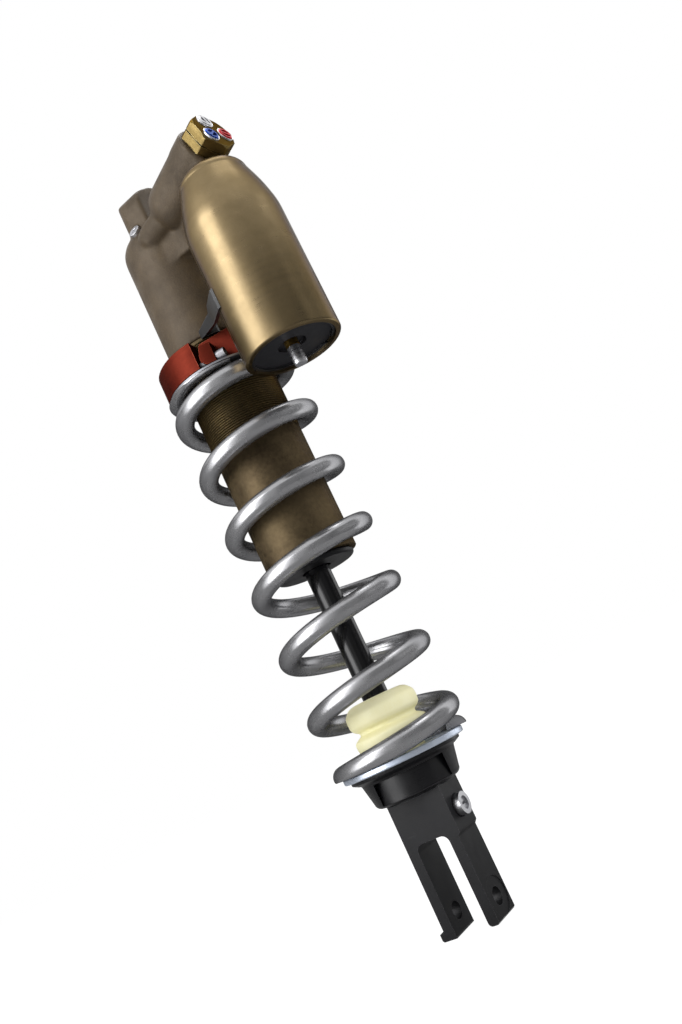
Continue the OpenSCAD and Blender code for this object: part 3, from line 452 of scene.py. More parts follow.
SPRING_COAT = Finish(
    "silver_spring_coat", "b2b2b4", "a2a2a5", metallic=0.88, roughness=0.23, rough_spread=0.07, grain=1300.0,
    grain_depth=0.01, scuff_scale=45.0, coat=0.1, coat_roughness=0.2, rim="48484a",
)
ZINC = Finish(
    "bright_zinc", "dce4f0", "c6d1e4", metallic=0.85, rough_spread=0.12, grain=900.0, turned=UP, rings=3000.0,
    scuffing=0.3,
)
WASHER_STEEL = Finish(
    "washer_steel", "8e8f94", "7d7e84", metallic=0.9, roughness=0.34, rough_spread=0.1, grain_depth=0.005,
    turned=UP, rings=4000.0, scuffing=0.3, rim="505156",
)
STEEL = Finish(
    "machined_steel", "a9a9ad", "98989d", roughness=0.32, rough_spread=0.1, grain=1800.0, grain_depth=0.005,
    scuffing=0.3, rim="6a6a70",
)
BLACK_STEEL = Finish(
    "black_oxide_steel", "2c2c2e", "363638", metallic=0.8, roughness=0.4, grain_depth=0.008, scuffing=0.4,
    edge_colour="808083",
)
# The grey edge colour on the black strip is a painted highlight along its edges.
STRIP_STEEL = Finish(
    "folded_strip_coat", "131416", "1a1b1d", metallic=0.2, roughness=0.36, grain=1400.0, scuffing=0.3,
    edge_colour="8a8b90",
)
BALL_STEEL = Finish(
    "polished_ball", "d2d2d5", "c6c6ca", roughness=0.1, rough_spread=0.04, grain=1800.0, grain_depth=0.001,
)
SHAFT_COAT = Finish(
    "black_shaft_coat", "0a0a0c", "0f0f12", metallic=0.4, roughness=0.12, rough_spread=0.04, grain=2000.0,
    grain_depth=0.001, turned=UP, rings=7000.0, ring_depth=0.0008, coat=0.4, coat_roughness=0.05,
)
BRASS = Finish("plain_brass", "c9a659", "b8934a", roughness=0.3, grain=1800.0, grain_depth=0.003)
RUBBER = Finish("black_rubber", "1a1a1a", "222222", metallic=0.0, roughness=0.6, grain_depth=0.01)
BUMP_FOAM = Finish(
    "cream_bump_rubber", "f8f4cc", "f0eab6", metallic=0.0, roughness=0.55, rough_spread=0.12, grain=900.0,
    grain_depth=0.05, scuffing=0.2,
)
LINING = Finish("bearing_lining", "6b5a38", "5d4e30", metallic=0.1, roughness=0.5, grain=2000.0)


# Building helpers


def placed(name: str, data: bpy.types.ID) -> bpy.types.Object:
    """Makes an object and links it to the scene.

    Args:
        name: the object's name.
        data: its mesh, camera or lamp.

    Returns:
        The new object.
    """
    obj = bpy.data.objects.new(name, data)
    bpy.context.scene.collection.objects.link(obj)
    return obj


def meshed(name: str, shape: Shape, material: bpy.types.Material) -> bpy.types.Object:
    """Turns a shape into a mesh object and frees the shape.

    Args:
        name: the object's name.
        shape: its mesh, in metres.
        material: its material.

    Returns:
        The new object.
    """
    mesh = bpy.data.meshes.new(name)
    shape.to_mesh(mesh)
    shape.free()
    mesh.materials.append(material)
    return placed(name, mesh)


def creases(shape: Shape, angle: float) -> list[bmesh.types.BMEdge]:
    """Returns a shape's edges whose faces meet at more than an angle in degrees."""
    limit = math.radians(angle)
    return [e for e in shape.edges if len(e.link_faces) == 2 and e.calc_face_angle(0.0) > limit]


def spun(shape: Shape, geom: list, angle: float, steps: int, rise: float = 0.0,
         merge: bool = False) -> None:
    """Sweeps a line about the Z axis and joins what meets.

    Args:
        shape: the mesh that holds the line.
        geom: the line's points and edges.
        angle: how far the sweep goes, in degrees.
        steps: number of steps.
        rise: how far the sweep climbs in all, in metres.
        merge: joins the last step to the first.
    """
    bmesh.ops.spin(shape, geom=geom, cent=(0, 0, 0), axis=UP, angle=math.radians(angle), steps=steps,
                   use_merge=merge, use_duplicate=False, dvec=(0, 0, rise / steps))
    bmesh.ops.remove_doubles(shape, verts=shape.verts, dist=1e-6)


def lathe(outline: Iterable[Point], steps: int = 96, centre: Point = (0.0, 0.0)) -> Shape:
    """Spins a closed outline about a vertical axis.

    Args:
        outline: radius and height of each point, in millimetres.
        steps: number of steps round the axis.
        centre: where the axis stands, in millimetres.

    Returns:
        The turned mesh.
    """
    shape = bmesh.new()
    verts = [shape.verts.new((r * MM, 0.0, z * MM)) for r, z in outline]
    edges = [shape.edges.new(pair) for pair in zip(verts, [*verts[1:], verts[0]])]
    spun(shape, [*verts, *edges], 360, steps, merge=True)
    bmesh.ops.dissolve_degenerate(shape, dist=1e-7, edges=shape.edges)
    bmesh.ops.recalc_face_normals(shape, faces=shape.faces)
    bmesh.ops.translate(shape, verts=shape.verts, vec=(centre[0] * MM, centre[1] * MM, 0.0))
    return shape


def arc(centre: Point, half: Point, start: float, end: float, steps: int) -> list[Point]:
    """Points on a stretch of an ellipse.

    Args:
        centre: the ellipse's centre, as radius and height.
        half: its half-width and half-height.
        start: first angle in degrees.
        end: last angle in degrees.
        steps: number of steps.

    Returns:
        The points as radius and height.
    """
    angles = [math.radians(start + (end - start) * i / steps) for i in range(steps + 1)]
    return [(centre[0] + half[0] * math.cos(a), centre[1] + half[1] * math.sin(a)) for a in angles]


def eased_outline(points: Sequence[Point], radius: float, steps: int) -> list[Point]:
    """Rounds the corners of an open outline.

    Args:
        points: the outline's corners.
        radius: how far from each corner its rounding starts, at most.
        steps: points per corner.

    Returns:
        The outline with each inner corner rounded.
    """
    done = [points[0]]
    for before, corner, after in zip(points, points[1:], points[2:]):
        a, b, c = (Vector(p) for p in (before, corner, after))
        reach = min(radius, (a - b).length * 0.45, (c - b).length * 0.45)
        p, q = b + (a - b).normalized() * reach, b + (c - b).normalized() * reach
        for t in (i / steps for i in range(steps + 1)):
            done.append(tuple((1 - t) ** 2 * p + 2 * t * (1 - t) * b + t * t * q))
    done.append(points[-1])
    return done


@dataclass
class Workshop:
    """Turns shapes into named pieces; faces within the flat angle in degrees count as one."""

    frame: dict
    flat: float = 0.4
    made: list[str] = field(default_factory=list)

    def piece(self, name: str, shape: Shape, finish: Finish, body: str,
              stands_for: Sequence[str] = (), slot: str | None = None,
              sharp: float = 32.0) -> bpy.types.Object:
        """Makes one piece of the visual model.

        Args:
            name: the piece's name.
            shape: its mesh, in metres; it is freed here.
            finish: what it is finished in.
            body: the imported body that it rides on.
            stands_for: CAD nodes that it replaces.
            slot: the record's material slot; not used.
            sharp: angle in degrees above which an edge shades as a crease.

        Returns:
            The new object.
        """
        for face in shape.faces:
            face.smooth = True
        for edge in creases(shape, sharp):
            edge.smooth = False
        obj = meshed(name, shape, finish.material())
        if stands_for:
            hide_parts(*stands_for)
        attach(obj, body)
        self.made.append(name)
        LOG.info("%s: %d faces, on %s", name, len(obj.data.polygons), body)
        return obj

    def dress(self, finish: Finish, *nodes: str) -> None:
        """Gives CAD nodes whose shape is right a finish.

        Args:
            finish: the finish.
            nodes: names of the nodes.
        """
        for name in nodes:
            obj = self.frame["nodes"][name]
            if not obj.material_slots:
                obj.data.materials.append(None)
            for slot in obj.material_slots:
                slot.material = finish.material()
            LOG.info("%s: kept from the solids, %s", name, finish.name)

    def eased(self, node: str, finish: Finish, body: str, slot: str, width: float = 0.3,
              crease: float = 40.0) -> bpy.types.Object:
        """Replaces a CAD node by a copy whose sharp edges are eased as on the real piece.

        Its loose triangles are joined into flat faces first.

        Args:
            node: name of the node.
            finish: its finish.
            body: the body that it rides on.
            slot: the record's material slot.
            width: width of the eased edges in millimetres.
            crease: edges sharper than this many degrees are eased.

        Returns:
            The new piece.
        """
        shape = bmesh.new()
        shape.from_mesh(self.frame["nodes"][node].data)
        bmesh.ops.remove_doubles(shape, verts=shape.verts, dist=2e-6)
        bmesh.ops.dissolve_limit(shape, angle_limit=math.radians(self.flat), verts=shape.verts,
                                 edges=shape.edges, use_dissolve_boundaries=False, delimit=set())
        bmesh.ops.bevel(shape, geom=creases(shape, crease), offset=width * MM, offset_type="OFFSET",
                        segments=2, profile=0.5, affect="EDGES", material=-1, clamp_overlap=True,
                        loop_slide=True)
        eased = self.piece(node + "_eased", shape, finish, body, (node,), slot, sharp=45.0)
        flats = eased.modifiers.new("even_flats", "WEIGHTED_NORMAL")
        flats.keep_sharp = True
        flats.weight = 100
        return eased


# The object's sub-assemblies


@dataclass
class HeadAssembly:
    """The casting with the upper eye, its bearing and the bleed screw."""

    shop: Workshop
    voxel: float = 1.0
    passes: int = 9
    pull: float = 0.5

    def build(self) -> None:
        """Builds the casting with its cast-in fillets and dresses what it holds."""
        self.casting()
        self.shop.dress(STEEL, "bearing_race")
        self.shop.dress(BALL_STEEL, "eye_ball")
        self.shop.dress(SCREW_ALLOY, "eye_collars")
        self.shop.dress(BLACK_STEEL, "bearing_circlips")
        self.shop.dress(RUBBER, "eye_seals")
        self.shop.eased("bleed_screw", BRIGHT_ALLOY, "damper_body", "steel", 0.25)

    def casting(self) -> None:
        """Rounds the casting's corners and fillets its joints, as a mould leaves them."""
        work = placed("casting_work", self.shop.frame["nodes"]["head_casting"].data.copy())
        remesh = work.modifiers.new("remesh", "REMESH")
        remesh.mode = "VOXEL"
        remesh.voxel_size = self.voxel * MM
        remesh.use_smooth_shade = True
        shape = bmesh.new()
        shape.from_mesh(work.evaluated_get(bpy.context.evaluated_depsgraph_get()).to_mesh())
        bpy.data.objects.remove(work)
        for _ in range(self.passes):
            bmesh.ops.smooth_vert(shape, verts=shape.verts, factor=self.pull, use_axis_x=True,
                                  use_axis_y=True, use_axis_z=True)
        self.shop.piece("head_casting_skin", shape, CASTING, "damper_body", ("head_casting",),
                        "cast_coating", 60.0)


@dataclass
class Reservoir:
    """The gas reservoir beside the damper, with its cap, its valve and its strip bracket.

    The boss is the adjuster's: the shell is dented where it would reach into it.
    """

    shop: Workshop
    centre: Point = (68.613, -34.059)
    radius: float = 30.0
    top: float = -26.0
    crown_height: float = 9.2
    crown_radius: float = 22.3
    crown_curve: float = 13.2
    taper: float = 31.0
    belly: float = 0.7
    end: float = -151.5
    lip: float = 1.5
    wall: float = 3.0
    neck_r: float = 11.05
    neck_l: float = 17.0
    cap_seat_l: float = 20.2
    cap_seat_step: float = 0.55
    boss_root: tuple[float, float, float] = (5.0, -18.5, -25.3)
    boss_r: float = 17.15
    boss_low: float = -60.0

    def build(self) -> None:
        """Builds the shell and dresses the rest."""
        self.shell()
        self.shop.eased("reservoir_cap", CHARCOAL, "damper_body", "charcoal_alloy", 0.3)
        self.shop.dress(BLACK_STEEL, "reservoir_circlip")
        self.shop.dress(RUBBER, "cap_o_ring", "gas_bladder")
        self.shop.dress(BRASS, "valve_stem", "valve_pin")
        self.shop.eased("valve_cap", BRIGHT_ALLOY, "damper_body", "plain_alloy", 0.3)
        self.shop.eased("reservoir_stay", STRIP_STEEL, "damper_body", "black_steel", 0.3)

    def outline(self) -> list[Point]:
        """Returns the shell's outer outline from the neck to its open end."""
        crown = self.top - self.crown_height
        low = crown - self.taper
        flank = [((self.crown_radius + self.radius) / 2 + self.belly, crown - self.taper * 0.45),
                 (self.radius - self.belly, low + self.taper * 0.18), (self.radius, low)]
        centre, half = (self.crown_radius - self.crown_curve, crown), (self.crown_curve, self.crown_height)
        smooth = arc(centre, half, 90, 0, 16)
        corners = [smooth[-2], (self.crown_radius, crown), *flank, (self.radius, low - 30)]
        smooth = smooth[:-1] + eased_outline(corners, 9.0, 6)[1:]
        return smooth + arc((self.radius - self.lip, self.end + self.lip), (self.lip, self.lip), 0, -90, 6)

    def inside(self) -> list[Point]:
        """Returns the shell's inner outline from its open end to the neck."""
        crown = self.top - self.crown_height
        inner = self.radius - self.wall
        bore = inner - self.cap_seat_step
        seat, neck = self.end + self.cap_seat_l, self.top - self.neck_l
        return [(bore, self.end), (bore, seat), (inner, seat + 0.1), (inner, crown - self.taper),
                (inner - 3.5, crown - self.taper * 0.6), (18.0, neck - 5), (13.0, neck), (self.neck_r, neck),
                (self.neck_r, self.top)]

    def shell(self) -> None:
        """Turns the shell and presses it round the casting's boss."""
        inside = self.inside()
        shape = lathe([inside[-1], *self.outline()[1:], *inside[:-1]], 128, self.centre)
        root, along = Vector(self.boss_root) * MM, Vector(ALONG_ADJUSTER).normalized()
        clear = self.boss_r * MM
        for vert in shape.verts:
            foot = root + along * (vert.co - root).dot(along)
            away = vert.co - foot
            if away.length < clear and vert.co.z > self.boss_low * MM:
                vert.co = foot + away.normalized() * clear
        self.shop.piece("reservoir_shell_turned", shape, RESERVOIR_BRONZE, "damper_body",
                        ("reservoir_shell",), "bronze_satin", 40.0)


@dataclass
class Adjuster:
    """The hexagonal compression adjuster with its three dials."""

    shop: Workshop
    dial_proud: float = 1.6
    bezel: tuple[Point, ...] = ((4.75, -0.4), (4.75, 0.8), (5.0, 1.05), (5.4, 0.8), (5.55, -0.4))

    def build(self) -> None:
        """Eases the hexagon's edges, dresses the dials and sets a bright bezel round each."""
        self.shop.eased("adjuster_body", HEX_GOLD, "damper_body", "olive_gold", 0.3)
        self.shop.eased("dial_silver", DIAL_SILVER, "silver_dial", "plain_alloy", 0.15)
        self.shop.eased("dial_blue", DIAL_BLUE, "blue_dial", "blue_anodised", 0.15)
        self.shop.eased("dial_red", DIAL_RED, "red_dial", "red_anodised", 0.15)
        self.shop.dress(STEEL, "adjuster_needle", "adjuster_shims")
        self.shop.dress(BRASS, "adjuster_piston")
        self.shop.dress(RUBBER, "adjuster_o_ring")
        for colour in ("silver", "blue", "red"):
            self.add_bezel(colour)

    def add_bezel(self, colour: str) -> None:
        """Turns the bezel of one dial and sets it on the hexagon's face.

        Args:
            colour: which dial, by its colour.
        """
        along = Vector(ALONG_ADJUSTER).normalized()
        points = [v.co.copy() for v in self.shop.frame["nodes"]["dial_" + colour].data.vertices]
        face = max(points, key=along.dot).dot(along) - self.dial_proud * MM
        rim = [p for p in points if p.dot(along) > face]
        middle = sum(rim, Vector()) / len(rim)
        seat = middle + along * (face - middle.dot(along))
        shape = lathe(self.bezel, 48)
        turn = along.to_track_quat("Z", "Y").to_matrix().to_4x4()
        bmesh.ops.transform(shape, matrix=Matrix.Translation(seat) @ turn, verts=shape.verts)
        self.shop.piece(f"dial_bezel_{colour}", shape, DIAL_SILVER, "damper_body", (), "plain_alloy", 40.0)


@dataclass
class DamperTube:
    """The damper's tube with its thread, the cap under it and what it guides."""

    shop: Workshop
    bore: float = 23.0
    socket: float = 25.4
    top: float = -62.0
    collar: float = -104.05
    crest_r: float = 28.98
    root_r: float = 28.15
    sunk: float = 0.1
    pitch: float = 1.5
    thread_end: float = -173.0
    smooth_r: float = 28.7
    end: float = -258.0
    chamfer: float = 0.4

    def build(self) -> None:
        """Builds the tube with its thread and dresses the cap and the seals."""
        self.tube()
        self.thread()
        self.shop.eased("end_cap", BLACK_RIM, "damper_body", "black_anodised", 0.3)
        self.shop.dress(BRIGHT_ALLOY, "seal_head")
        self.shop.dress(RUBBER, "seal_head_o_ring", "oil_seal", "dust_wiper", "top_out_rubber")
        self.shop.dress(LINING, "guide_bush")
        self.shop.dress(BLACK_STEEL, "seal_circlip")

    def tube(self) -> None:
        """Turns the tube, at the thread's root where it is threaded."""
        outline = [(self.bore, self.end), (self.smooth_r - self.chamfer, self.end),
                   (self.smooth_r, self.end + self.chamfer), (self.smooth_r, self.thread_end - 1.4),
                   (self.root_r, self.thread_end), (self.root_r, self.collar),
                   (self.socket, self.collar + 0.05), (self.socket, self.top), (self.bore, self.top)]
        self.shop.piece("damper_tube_turned", lathe(outline, 128), TUBE_COAT, "damper_body",
                        ("damper_tube",), "dark_bronze", 30.0)

    def thread(self) -> None:
        """Cuts the helical thread by a spin that climbs one pitch a turn."""
        turns = int((self.collar - self.thread_end) / self.pitch)
        low = self.thread_end + 0.2
        foot = self.root_r - self.sunk
        ridge = [(foot, 0.0), (self.crest_r - 0.1, self.pitch * 0.4), (self.crest_r, self.pitch * 0.5),
                 (self.crest_r - 0.1, self.pitch * 0.6)]
        points = [(r, low + t * self.pitch + z) for t in range(turns - 1) for r, z in ridge]
        points.append((foot, low + (turns - 1) * self.pitch))
        shape = bmesh.new()
        verts = [shape.verts.new((r * MM, 0.0, z * MM)) for r, z in points]
        edges = [shape.edges.new(pair) for pair in zip(verts, verts[1:])]
        spun(shape, [*verts, *edges], 360, 72, rise=self.pitch * MM)
        bmesh.ops.recalc_face_normals(shape, faces=shape.faces)
        self.shop.piece("damper_thread", shape, THREAD_COAT, "damper_body", (), "dark_bronze", 80.0)


@dataclass
class PreloadCollar:
    """The slotted ring, its clamp bolt and the washer under it."""

    shop: Workshop

    def build(self) -> None:
        """Eases the ring's edges and dresses the rest."""
        self.shop.eased("preload_ring", RING_RED, "preload_collar", "orange_anodised", 0.35)
        self.shop.eased("clamp_bolt", STEEL, "preload_collar", "steel", 0.25)
        self.shop.dress(WASHER_STEEL, "thrust_washer")


@dataclass
class CoilSpring:
    """The main spring: one round wire wound on a centre line, with ends ground flat.

    The ramps say at how many turns from a tip the pitch starts to grow and where it is full. The
    closed heights are those of the end turns, which don't close further.
    """

    shop: Workshop
    wire: float = 12.0
    sides: int = 32
    mean: float = 38.5
    turns: float = 7.815
    tip: float = 16.0
    bottom: float = -381.25
    top: float = -129.0
    tip_thickness: float = 1.15
    low_pitch: float = 2.0
    top_pitch: float = 9.0
    low_ramp: tuple[float, float] = (0.42, 1.02)
    top_ramp: tuple[float, float] = (0.4765, 1.3765)
    inset: float = 2.5
    inset_turns: float = 2.0
    closed_low: float = 16.0
    closed_top: float = 16.0
    points_per_turn: int = 64

    @staticmethod
    def ramp(v: float, limits: tuple[float, float]) -> float:
        """Returns how many turns' worth of extra rise has built up at v turns from a tip.

        Args:
            v: turns from the tip.
            limits: where the pitch starts to grow and where it is full.
        """
        if v < limits[0]:
            return 0.0
        if v < limits[1]:
            return (v - limits[0]) ** 2 / (2 * (limits[1] - limits[0]))
        return v - sum(limits) / 2

    def height(self, u: float) -> float:
        """Works out the height of the wire's centre.

        Args:
            u: turns from the lower tip.

        Returns:
            The height.
        """
        highest = self.top + self.wire / 2 - self.tip_thickness
        low_share, top_share = sum(self.low_ramp) / 2, sum(self.top_ramp) / 2
        rise = highest - self.bottom - self.low_pitch * low_share - self.top_pitch * top_share
        pitch = rise / (self.turns - low_share - top_share)
        if u < self.turns / 2:
            return self.bottom + self.low_pitch * u + (pitch - self.low_pitch) * self.ramp(u, self.low_ramp)
        v = self.turns - u
        return highest - self.top_pitch * v - (pitch - self.top_pitch) * self.ramp(v, self.top_ramp)

    def radius(self, u: float) -> float:
        """Returns the coils' radius at u turns from the lower tip, drawn in over the end turns."""
        share = 1 - min(u, self.turns - u) / self.inset_turns
        return self.mean - (self.inset * share**1.4 if share > 0 else 0.0)

    def build(self) -> None:
        """Winds the centre line and gives it a round wire that stays round when the spring closes.

        The wire's nodes follow the washer that the preload ring drives.
        """
        shape = bmesh.new()
        count = round(self.turns * self.points_per_turn)
        last = None
        for u in (self.turns * i / count for i in range(count + 1)):
            a, r = math.radians(self.tip + 360 * u), self.radius(u)
            vert = shape.verts.new(Vector((r * math.cos(a), r * math.sin(a), self.height(u))) * MM)
            if last is not None:
                shape.edges.new((last, vert))
            last = vert
        spring = self.shop.piece("main_spring", shape, SPRING_COAT, "damper_body", ("coil_spring",),
                                 "spring_coat")
        spring.modifiers.new("wire", "NODES").node_group = self.wire_nodes()
        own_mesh(spring)

    def wire_nodes(self) -> bpy.types.NodeTree:
        """Returns the geometry nodes that lay out the centre line, wrap the wire and grind its ends."""
        net = Net(bpy.data.node_groups.new("wire_on_centre_line", "GeometryNodeTree"))
        for way in ("INPUT", "OUTPUT"):
            net.tree.interface.new_socket(name="Geometry", in_out=way, socket_type="NodeSocketGeometry")
        given, out = net.add("NodeGroupInput").outputs[0], net.add("NodeGroupOutput")
        place = net.add("GeometryNodeInputPosition").outputs[0]
        here = net.add("ShaderNodeSeparateXYZ", place).outputs
        span = net.add("GeometryNodeAttributeStatistic", named={"Geometry": given, "Attribute": here["Z"]})
        lowest = span.outputs["Min"]
        followed = {"Object": self.shop.frame["nodes"]["thrust_washer"]}
        washer = net.add("GeometryNodeObjectInfo", named=followed, transform_space="RELATIVE")
        drop = net.add("ShaderNodeSeparateXYZ", washer.outputs["Location"]).outputs["Z"]

        laid = self.laid_out(net, here, lowest, drop)
        line = net.add("GeometryNodeSetPosition", named={"Geometry": given, "Position": laid}).outputs[0]
        hold = net.add("GeometryNodeCaptureAttribute")
        hold.capture_items.new("VECTOR", "Centre")
        net.fill(hold, {0: net.add("GeometryNodeMeshToCurve", line).outputs[0], 1: place})
        section = {"Resolution": self.sides, "Radius": self.wire / 2 * MM}
        circle = net.add("GeometryNodeCurvePrimitiveCircle", named=section).outputs["Curve"]
        swept = {"Curve": hold.outputs[0], "Profile Curve": circle, "Fill Caps": True}
        wire = net.add("GeometryNodeCurveToMesh", named=swept).outputs["Mesh"]

        centre = net.add("ShaderNodeSeparateXYZ", hold.outputs[1]).outputs
        target = self.ground(net, here, centre, lowest, net.plus(drop, self.top * MM))
        wire = net.add("GeometryNodeSetPosition", named={"Geometry": wire, "Position": target}).outputs[0]
        wire = net.add("GeometryNodeSetShadeSmooth", wire).outputs[0]
        coated = {"Geometry": wire, "Material": SPRING_COAT.material()}
        net.fill(out, {0: net.add("GeometryNodeSetMaterial", named=coated).outputs["Geometry"]})
        return net.tree

    def laid_out(self, net: Net, here: bpy.types.NodeOutputs, lowest: Socket, drop: Socket) -> Socket:
        """Lays the centre line out anew between the lower tip and the thrust washer.

        The end turns keep their height and the open turns between them share what is left.

        Args:
            net: the wire's nodes.
            here: where a point of the squashed centre line is.
            lowest: height of its lowest point.
            drop: how far the washer has moved up.

        Returns:
            Where the point goes.
        """
        free = (self.top - self.bottom) * MM
        low, high = self.closed_low * MM, self.closed_top * MM
        opened = free - low - high
        squashed = net.minus(self.top * MM, lowest)
        above = net.times(net.minus(here["Z"], lowest), net.maths("DIVIDE", free, squashed))
        room = net.minus(net.plus(squashed, drop), low + high)
        passed = net.maths("MINIMUM", net.maths("MAXIMUM", net.minus(above, low), 0.0), opened)
        over = net.maths("MAXIMUM", net.minus(above, free - high), 0.0)
        ends = net.plus(net.maths("MINIMUM", above, low), over)
        rise = net.plus(ends, net.times(passed, net.maths("DIVIDE", room, opened)))
        return net.add("ShaderNodeCombineXYZ", here["X"], here["Y"], net.plus(lowest, rise)).outputs[0]

    def ground(self, net: Net, here: bpy.types.NodeOutputs, centre: bpy.types.NodeOutputs, low: Socket,
               high: Socket) -> Socket:
        """Puts what reaches beyond an end's plane on it, no further out than the cut wire is wide there.

        Args:
            net: the wire's nodes.
            here: where a point of the wire's surface is.
            centre: the centre line's point that it belongs to.
            low: height of the lower end's plane, the lowest point of the centre line.
            high: height of the upper end's plane, the washer's lower face.

        Returns:
            Where the point goes.
        """
        level = net.maths("MINIMUM", net.maths("MAXIMUM", here["Z"], low), high)
        beyond = net.maths("GREATER_THAN", net.maths("ABSOLUTE", net.minus(here["Z"], level)), 1e-7)
        depth = net.minus(level, centre["Z"])
        half = net.minus((self.wire / 2 * MM) ** 2, net.times(depth, depth))
        half = net.maths("SQRT", net.maths("MAXIMUM", half, 0.0))
        away = [net.minus(here[axis], centre[axis]) for axis in "XY"]
        reach = net.maths("SQRT", net.plus(*(net.times(part, part) for part in away)))
        share = net.maths("MINIMUM", net.maths("DIVIDE", half, net.maths("MAXIMUM", reach, 1e-6)), 1.0)
        share = net.plus(net.times(beyond, net.minus(share, 1.0)), 1.0)
        moved = [net.plus(centre[axis], net.times(part, share)) for axis, part in zip("XY", away)]
        return net.add("ShaderNodeCombineXYZ", *moved, level).outputs[0]


@dataclass
class LowerEnd:
    """The shaft with the bump rubber, the spring's lower seat and the clevis.

    The bump rubber's outline is given as how far each point lies inside its largest radius and
    below its top.
    """

    shop: Workshop
    bump_top: float = -345.95
    bump_r: float = 23.0
    bump_height: float = 47.95
    bump_bore: float = 8.7
    bump_outline: tuple[Point, ...] = (
        (7.2, 0.0), (4.2, 1.2), (0.9, 4.8), (0.6, 8.0), (0.9, 12.2), (2.4, 14.2), (5.0, 15.6),
        (5.3, 17.4), (2.4, 18.9), (0.3, 20.4), (0.1, 22.5), (0.3, 25.5), (1.6, 28.2), (6.5, 30.0),
        (8.0, 31.5), (8.0, 47.95),
    )
    cap_bottom: float = -262.0

    def build(self) -> None:
        """Builds the bump rubber and dresses the rest."""
        self.bump()
        self.shop.dress(SHAFT_COAT, "shaft")
        self.shop.eased("lower_washer", ZINC, "rod", "zinc_steel", 0.25)
        self.shop.eased("spring_seat", GLOSS_BLACK, "rod", "black_anodised", 1.0, 22.0)
        self.shop.eased("clevis", BLACK_ALLOY, "rod", "black_anodised", 0.35)
        self.shop.eased("rebound_screw", SCREW_ALLOY, "rebound_adjuster", "plain_alloy", 0.2)
        self.shop.dress(BRIGHT_ALLOY, "piston")
        self.shop.dress(LINING, "piston_band")
        self.shop.dress(STEEL, "piston_nut", "compression_shims", "rebound_shims", "stop_washer")
        self.shop.dress(STEEL, "rebound_push_rod")
        self.shop.dress(RUBBER, "rebound_o_ring")

    def bump(self) -> None:
        """Moulds the bump rubber with its two discs and the groove between them."""
        corners = [(self.bump_bore, 0.0), *((self.bump_r - x, z) for x, z in self.bump_outline),
                   (self.bump_bore, self.bump_height)]
        outline = eased_outline([(x, self.bump_top - z) for x, z in corners], 1.6, 5)
        bump = self.shop.piece("bump_rubber_moulded", lathe(outline), BUMP_FOAM, "rod", ("bump_rubber",),
                               "bump_foam", 50.0)
        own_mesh(bump)


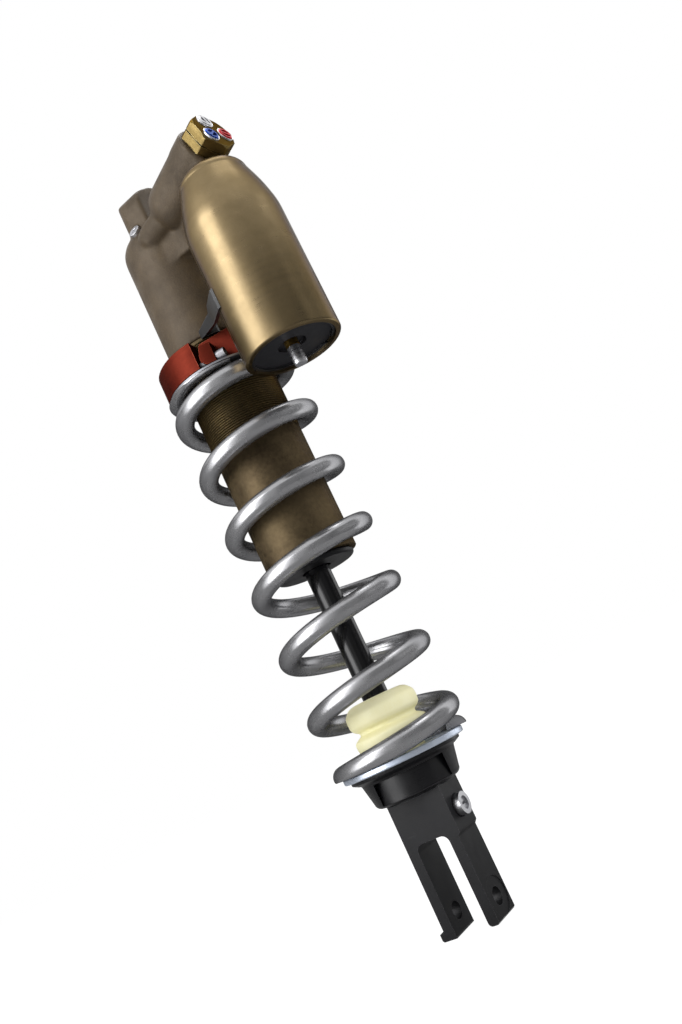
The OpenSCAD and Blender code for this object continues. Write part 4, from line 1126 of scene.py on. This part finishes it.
@dataclass
class Studio:
    """The photograph's camera, a plain pale floor, a white surround and soft lamps.

    Places and sizes here are in metres. A lamp is its name, its place, its width and height and its
    power. A card is the angles between which it stands and how bright it looks in reflections.
    """

    floor_z: float = -0.4846
    lens: float = 33.12
    camera_place: tuple[float, float, float] = (0.2880, -0.4911, -0.3619)
    camera_axes: tuple[tuple[float, float, float], ...] = (
        (0.7566, 0.4993, -0.4222), (0.4736, 0.0266, 0.8803), (0.4508, -0.8660, -0.2163),
    )
    world_level: float = 0.68
    floor_grey: Colour = (0.9, 0.9, 0.9, 1.0)
    floor_glow: float = 1.16
    floor_glow_share: float = 0.82
    middle: tuple[float, float, float] = (0.03, -0.01, -0.24)
    lamp_rows: tuple[tuple, ...] = (
        ("key_softbox", (-0.55, -1.25, 0.35), (0.8, 1.3), 15.0),
        ("fill_softbox", (1.45, 0.45, 0.0), (0.5, 1.3), 9.0),
        ("top_softbox", (0.2, 0.3, 1.3), (1.2, 0.8), 8.0),
    )
    card_reach: float = 0.5
    card_height: float = 0.62
    floor_card_level: float = 0.32
    card_rows: tuple[tuple[int, int, float], ...] = (
        (-215, -146, 0.2), (-146, -134, 1.3), (-134, -102, 4.2), (-102, -90, 1.4), (-90, -62, 0.45),
        (-62, -22, 0.2), (-22, 42, 0.1), (42, 74, 1.3), (74, 145, 0.22),
    )

    def build(self) -> None:
        """Sets up the camera, the surround, the floor, the lamps and the cards."""
        bpy.context.scene.view_settings.view_transform = "Standard"
        self.camera()
        self.world()
        self.floor()
        self.lamps()
        self.cards()

    def camera(self) -> None:
        """Places the camera that was solved from the photograph."""
        data = bpy.data.cameras.new("photograph")
        data.lens = self.lens
        data.sensor_width = 36.0
        data.sensor_fit = "AUTO"
        camera = placed("photograph", data)
        turn = Matrix(self.camera_axes).transposed().to_4x4()
        camera.matrix_world = Matrix.Translation(self.camera_place) @ turn
        bpy.context.scene.camera = camera

    def world(self) -> None:
        """Makes a surround that is white to the camera and in reflections, and softer as a light."""
        world = bpy.data.worlds.new("white_surround")
        bpy.context.scene.world = world
        net = Net.emptied(world)
        shown = net.add("ShaderNodeBackground", WHITE, 1.0)
        light = net.add("ShaderNodeBackground", WHITE, self.world_level)
        through = net.add("ShaderNodeLightPath").outputs["Is Transmission Ray"]
        seen = net.maths("MAXIMUM", net.seen_by_eye(), through)
        net.add("ShaderNodeOutputWorld", net.mix(seen, light, shown).outputs[0])

    def floor(self) -> None:
        """Lays the floor that the object stands on; from below it can be seen through."""
        shape = bmesh.new()
        bmesh.ops.create_grid(shape, x_segments=1, y_segments=1, size=6.0)
        bmesh.ops.translate(shape, verts=shape.verts, vec=(0, 0, self.floor_z))
        mat = bpy.data.materials.new("studio_floor_white")
        net = Net.emptied(mat)
        matte = net.add("ShaderNodeBsdfDiffuse", self.floor_grey)
        glow = net.add("ShaderNodeEmission", named={"Strength": self.floor_glow})
        upper = net.mix(net.times(net.seen_by_eye(), self.floor_glow_share), matte, glow)
        back = net.add("ShaderNodeNewGeometry").outputs["Backfacing"]
        clear = net.add("ShaderNodeBsdfTransparent")
        net.add("ShaderNodeOutputMaterial", net.mix(back, upper, clear).outputs[0])
        meshed("studio_floor", shape, mat)

    def lamps(self) -> None:
        """Hangs the soft lamps, each turned to the middle of the object."""
        for name, place, size, power in self.lamp_rows:
            data = bpy.data.lights.new(name, "AREA")
            data.shape = "RECTANGLE"
            data.size, data.size_y = size
            data.energy = power
            lamp = placed(name, data)
            lamp.location = place
            lamp.rotation_euler = (Vector(self.middle) - Vector(place)).to_track_quat("-Z", "Y").to_euler()

    def cards(self) -> None:
        """Stands curved cards round the object, which only its reflections show.

        Metal takes its shape from them: bright on the left of the camera, dim behind it, and dark on
        the right and on the floor.
        """
        foot = Vector((self.card_reach, 0.0, self.floor_z + 0.001))
        head = foot + Vector((0.0, 0.0, self.card_height))
        self.card("card_floor", Vector((0.0, 0.0, foot.z)), foot, 0, 360, self.floor_card_level)
        for start, end, level in self.card_rows:
            self.card(f"card_{start % 360:03d}", foot, head, start, end, level)

    def card(self, name: str, low: Vector, high: Vector, start: float, end: float, level: float) -> None:
        """Sweeps one card about the upright axis.

        Args:
            name: the card's name.
            low: first point of the line that is swept, at an angle of zero.
            high: its last point.
            start: angle in degrees at which the sweep starts.
            end: angle at which it ends.
            level: how bright the card looks in reflections, where 1 is white.
        """
        mat = bpy.data.materials.new(name)
        net = Net.emptied(mat)
        net.add("ShaderNodeOutputMaterial", net.add("ShaderNodeEmission", WHITE, level).outputs[0])
        shape = bmesh.new()
        pair = [shape.verts.new(low), shape.verts.new(high)]
        edge = shape.edges.new(pair)
        bmesh.ops.transform(shape, matrix=Matrix.Rotation(math.radians(start), 4, "Z"), verts=shape.verts)
        spun(shape, [*pair, edge], end - start, 12)
        card = meshed(name, shape, mat)
        card.visible_camera = card.visible_diffuse = card.visible_shadow = False


def corners(box: tuple[Vector, Vector]) -> list[list[float]]:
    """Returns a box's two corners as plain lists of numbers."""
    return [[float(c) for c in corner] for corner in box]


def main() -> None:
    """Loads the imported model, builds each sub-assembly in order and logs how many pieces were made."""
    logging.basicConfig(level=logging.INFO, format="%(name)s: %(message)s")
    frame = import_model()
    Studio().build()
    shop = Workshop(frame)
    for assembly in (HeadAssembly, Reservoir, Adjuster, DamperTube, PreloadCollar, CoilSpring, LowerEnd):
        assembly(shop).build()
    LOG.info("%d pieces made", len(shop.made))


if __name__ == "__main__":
    main()
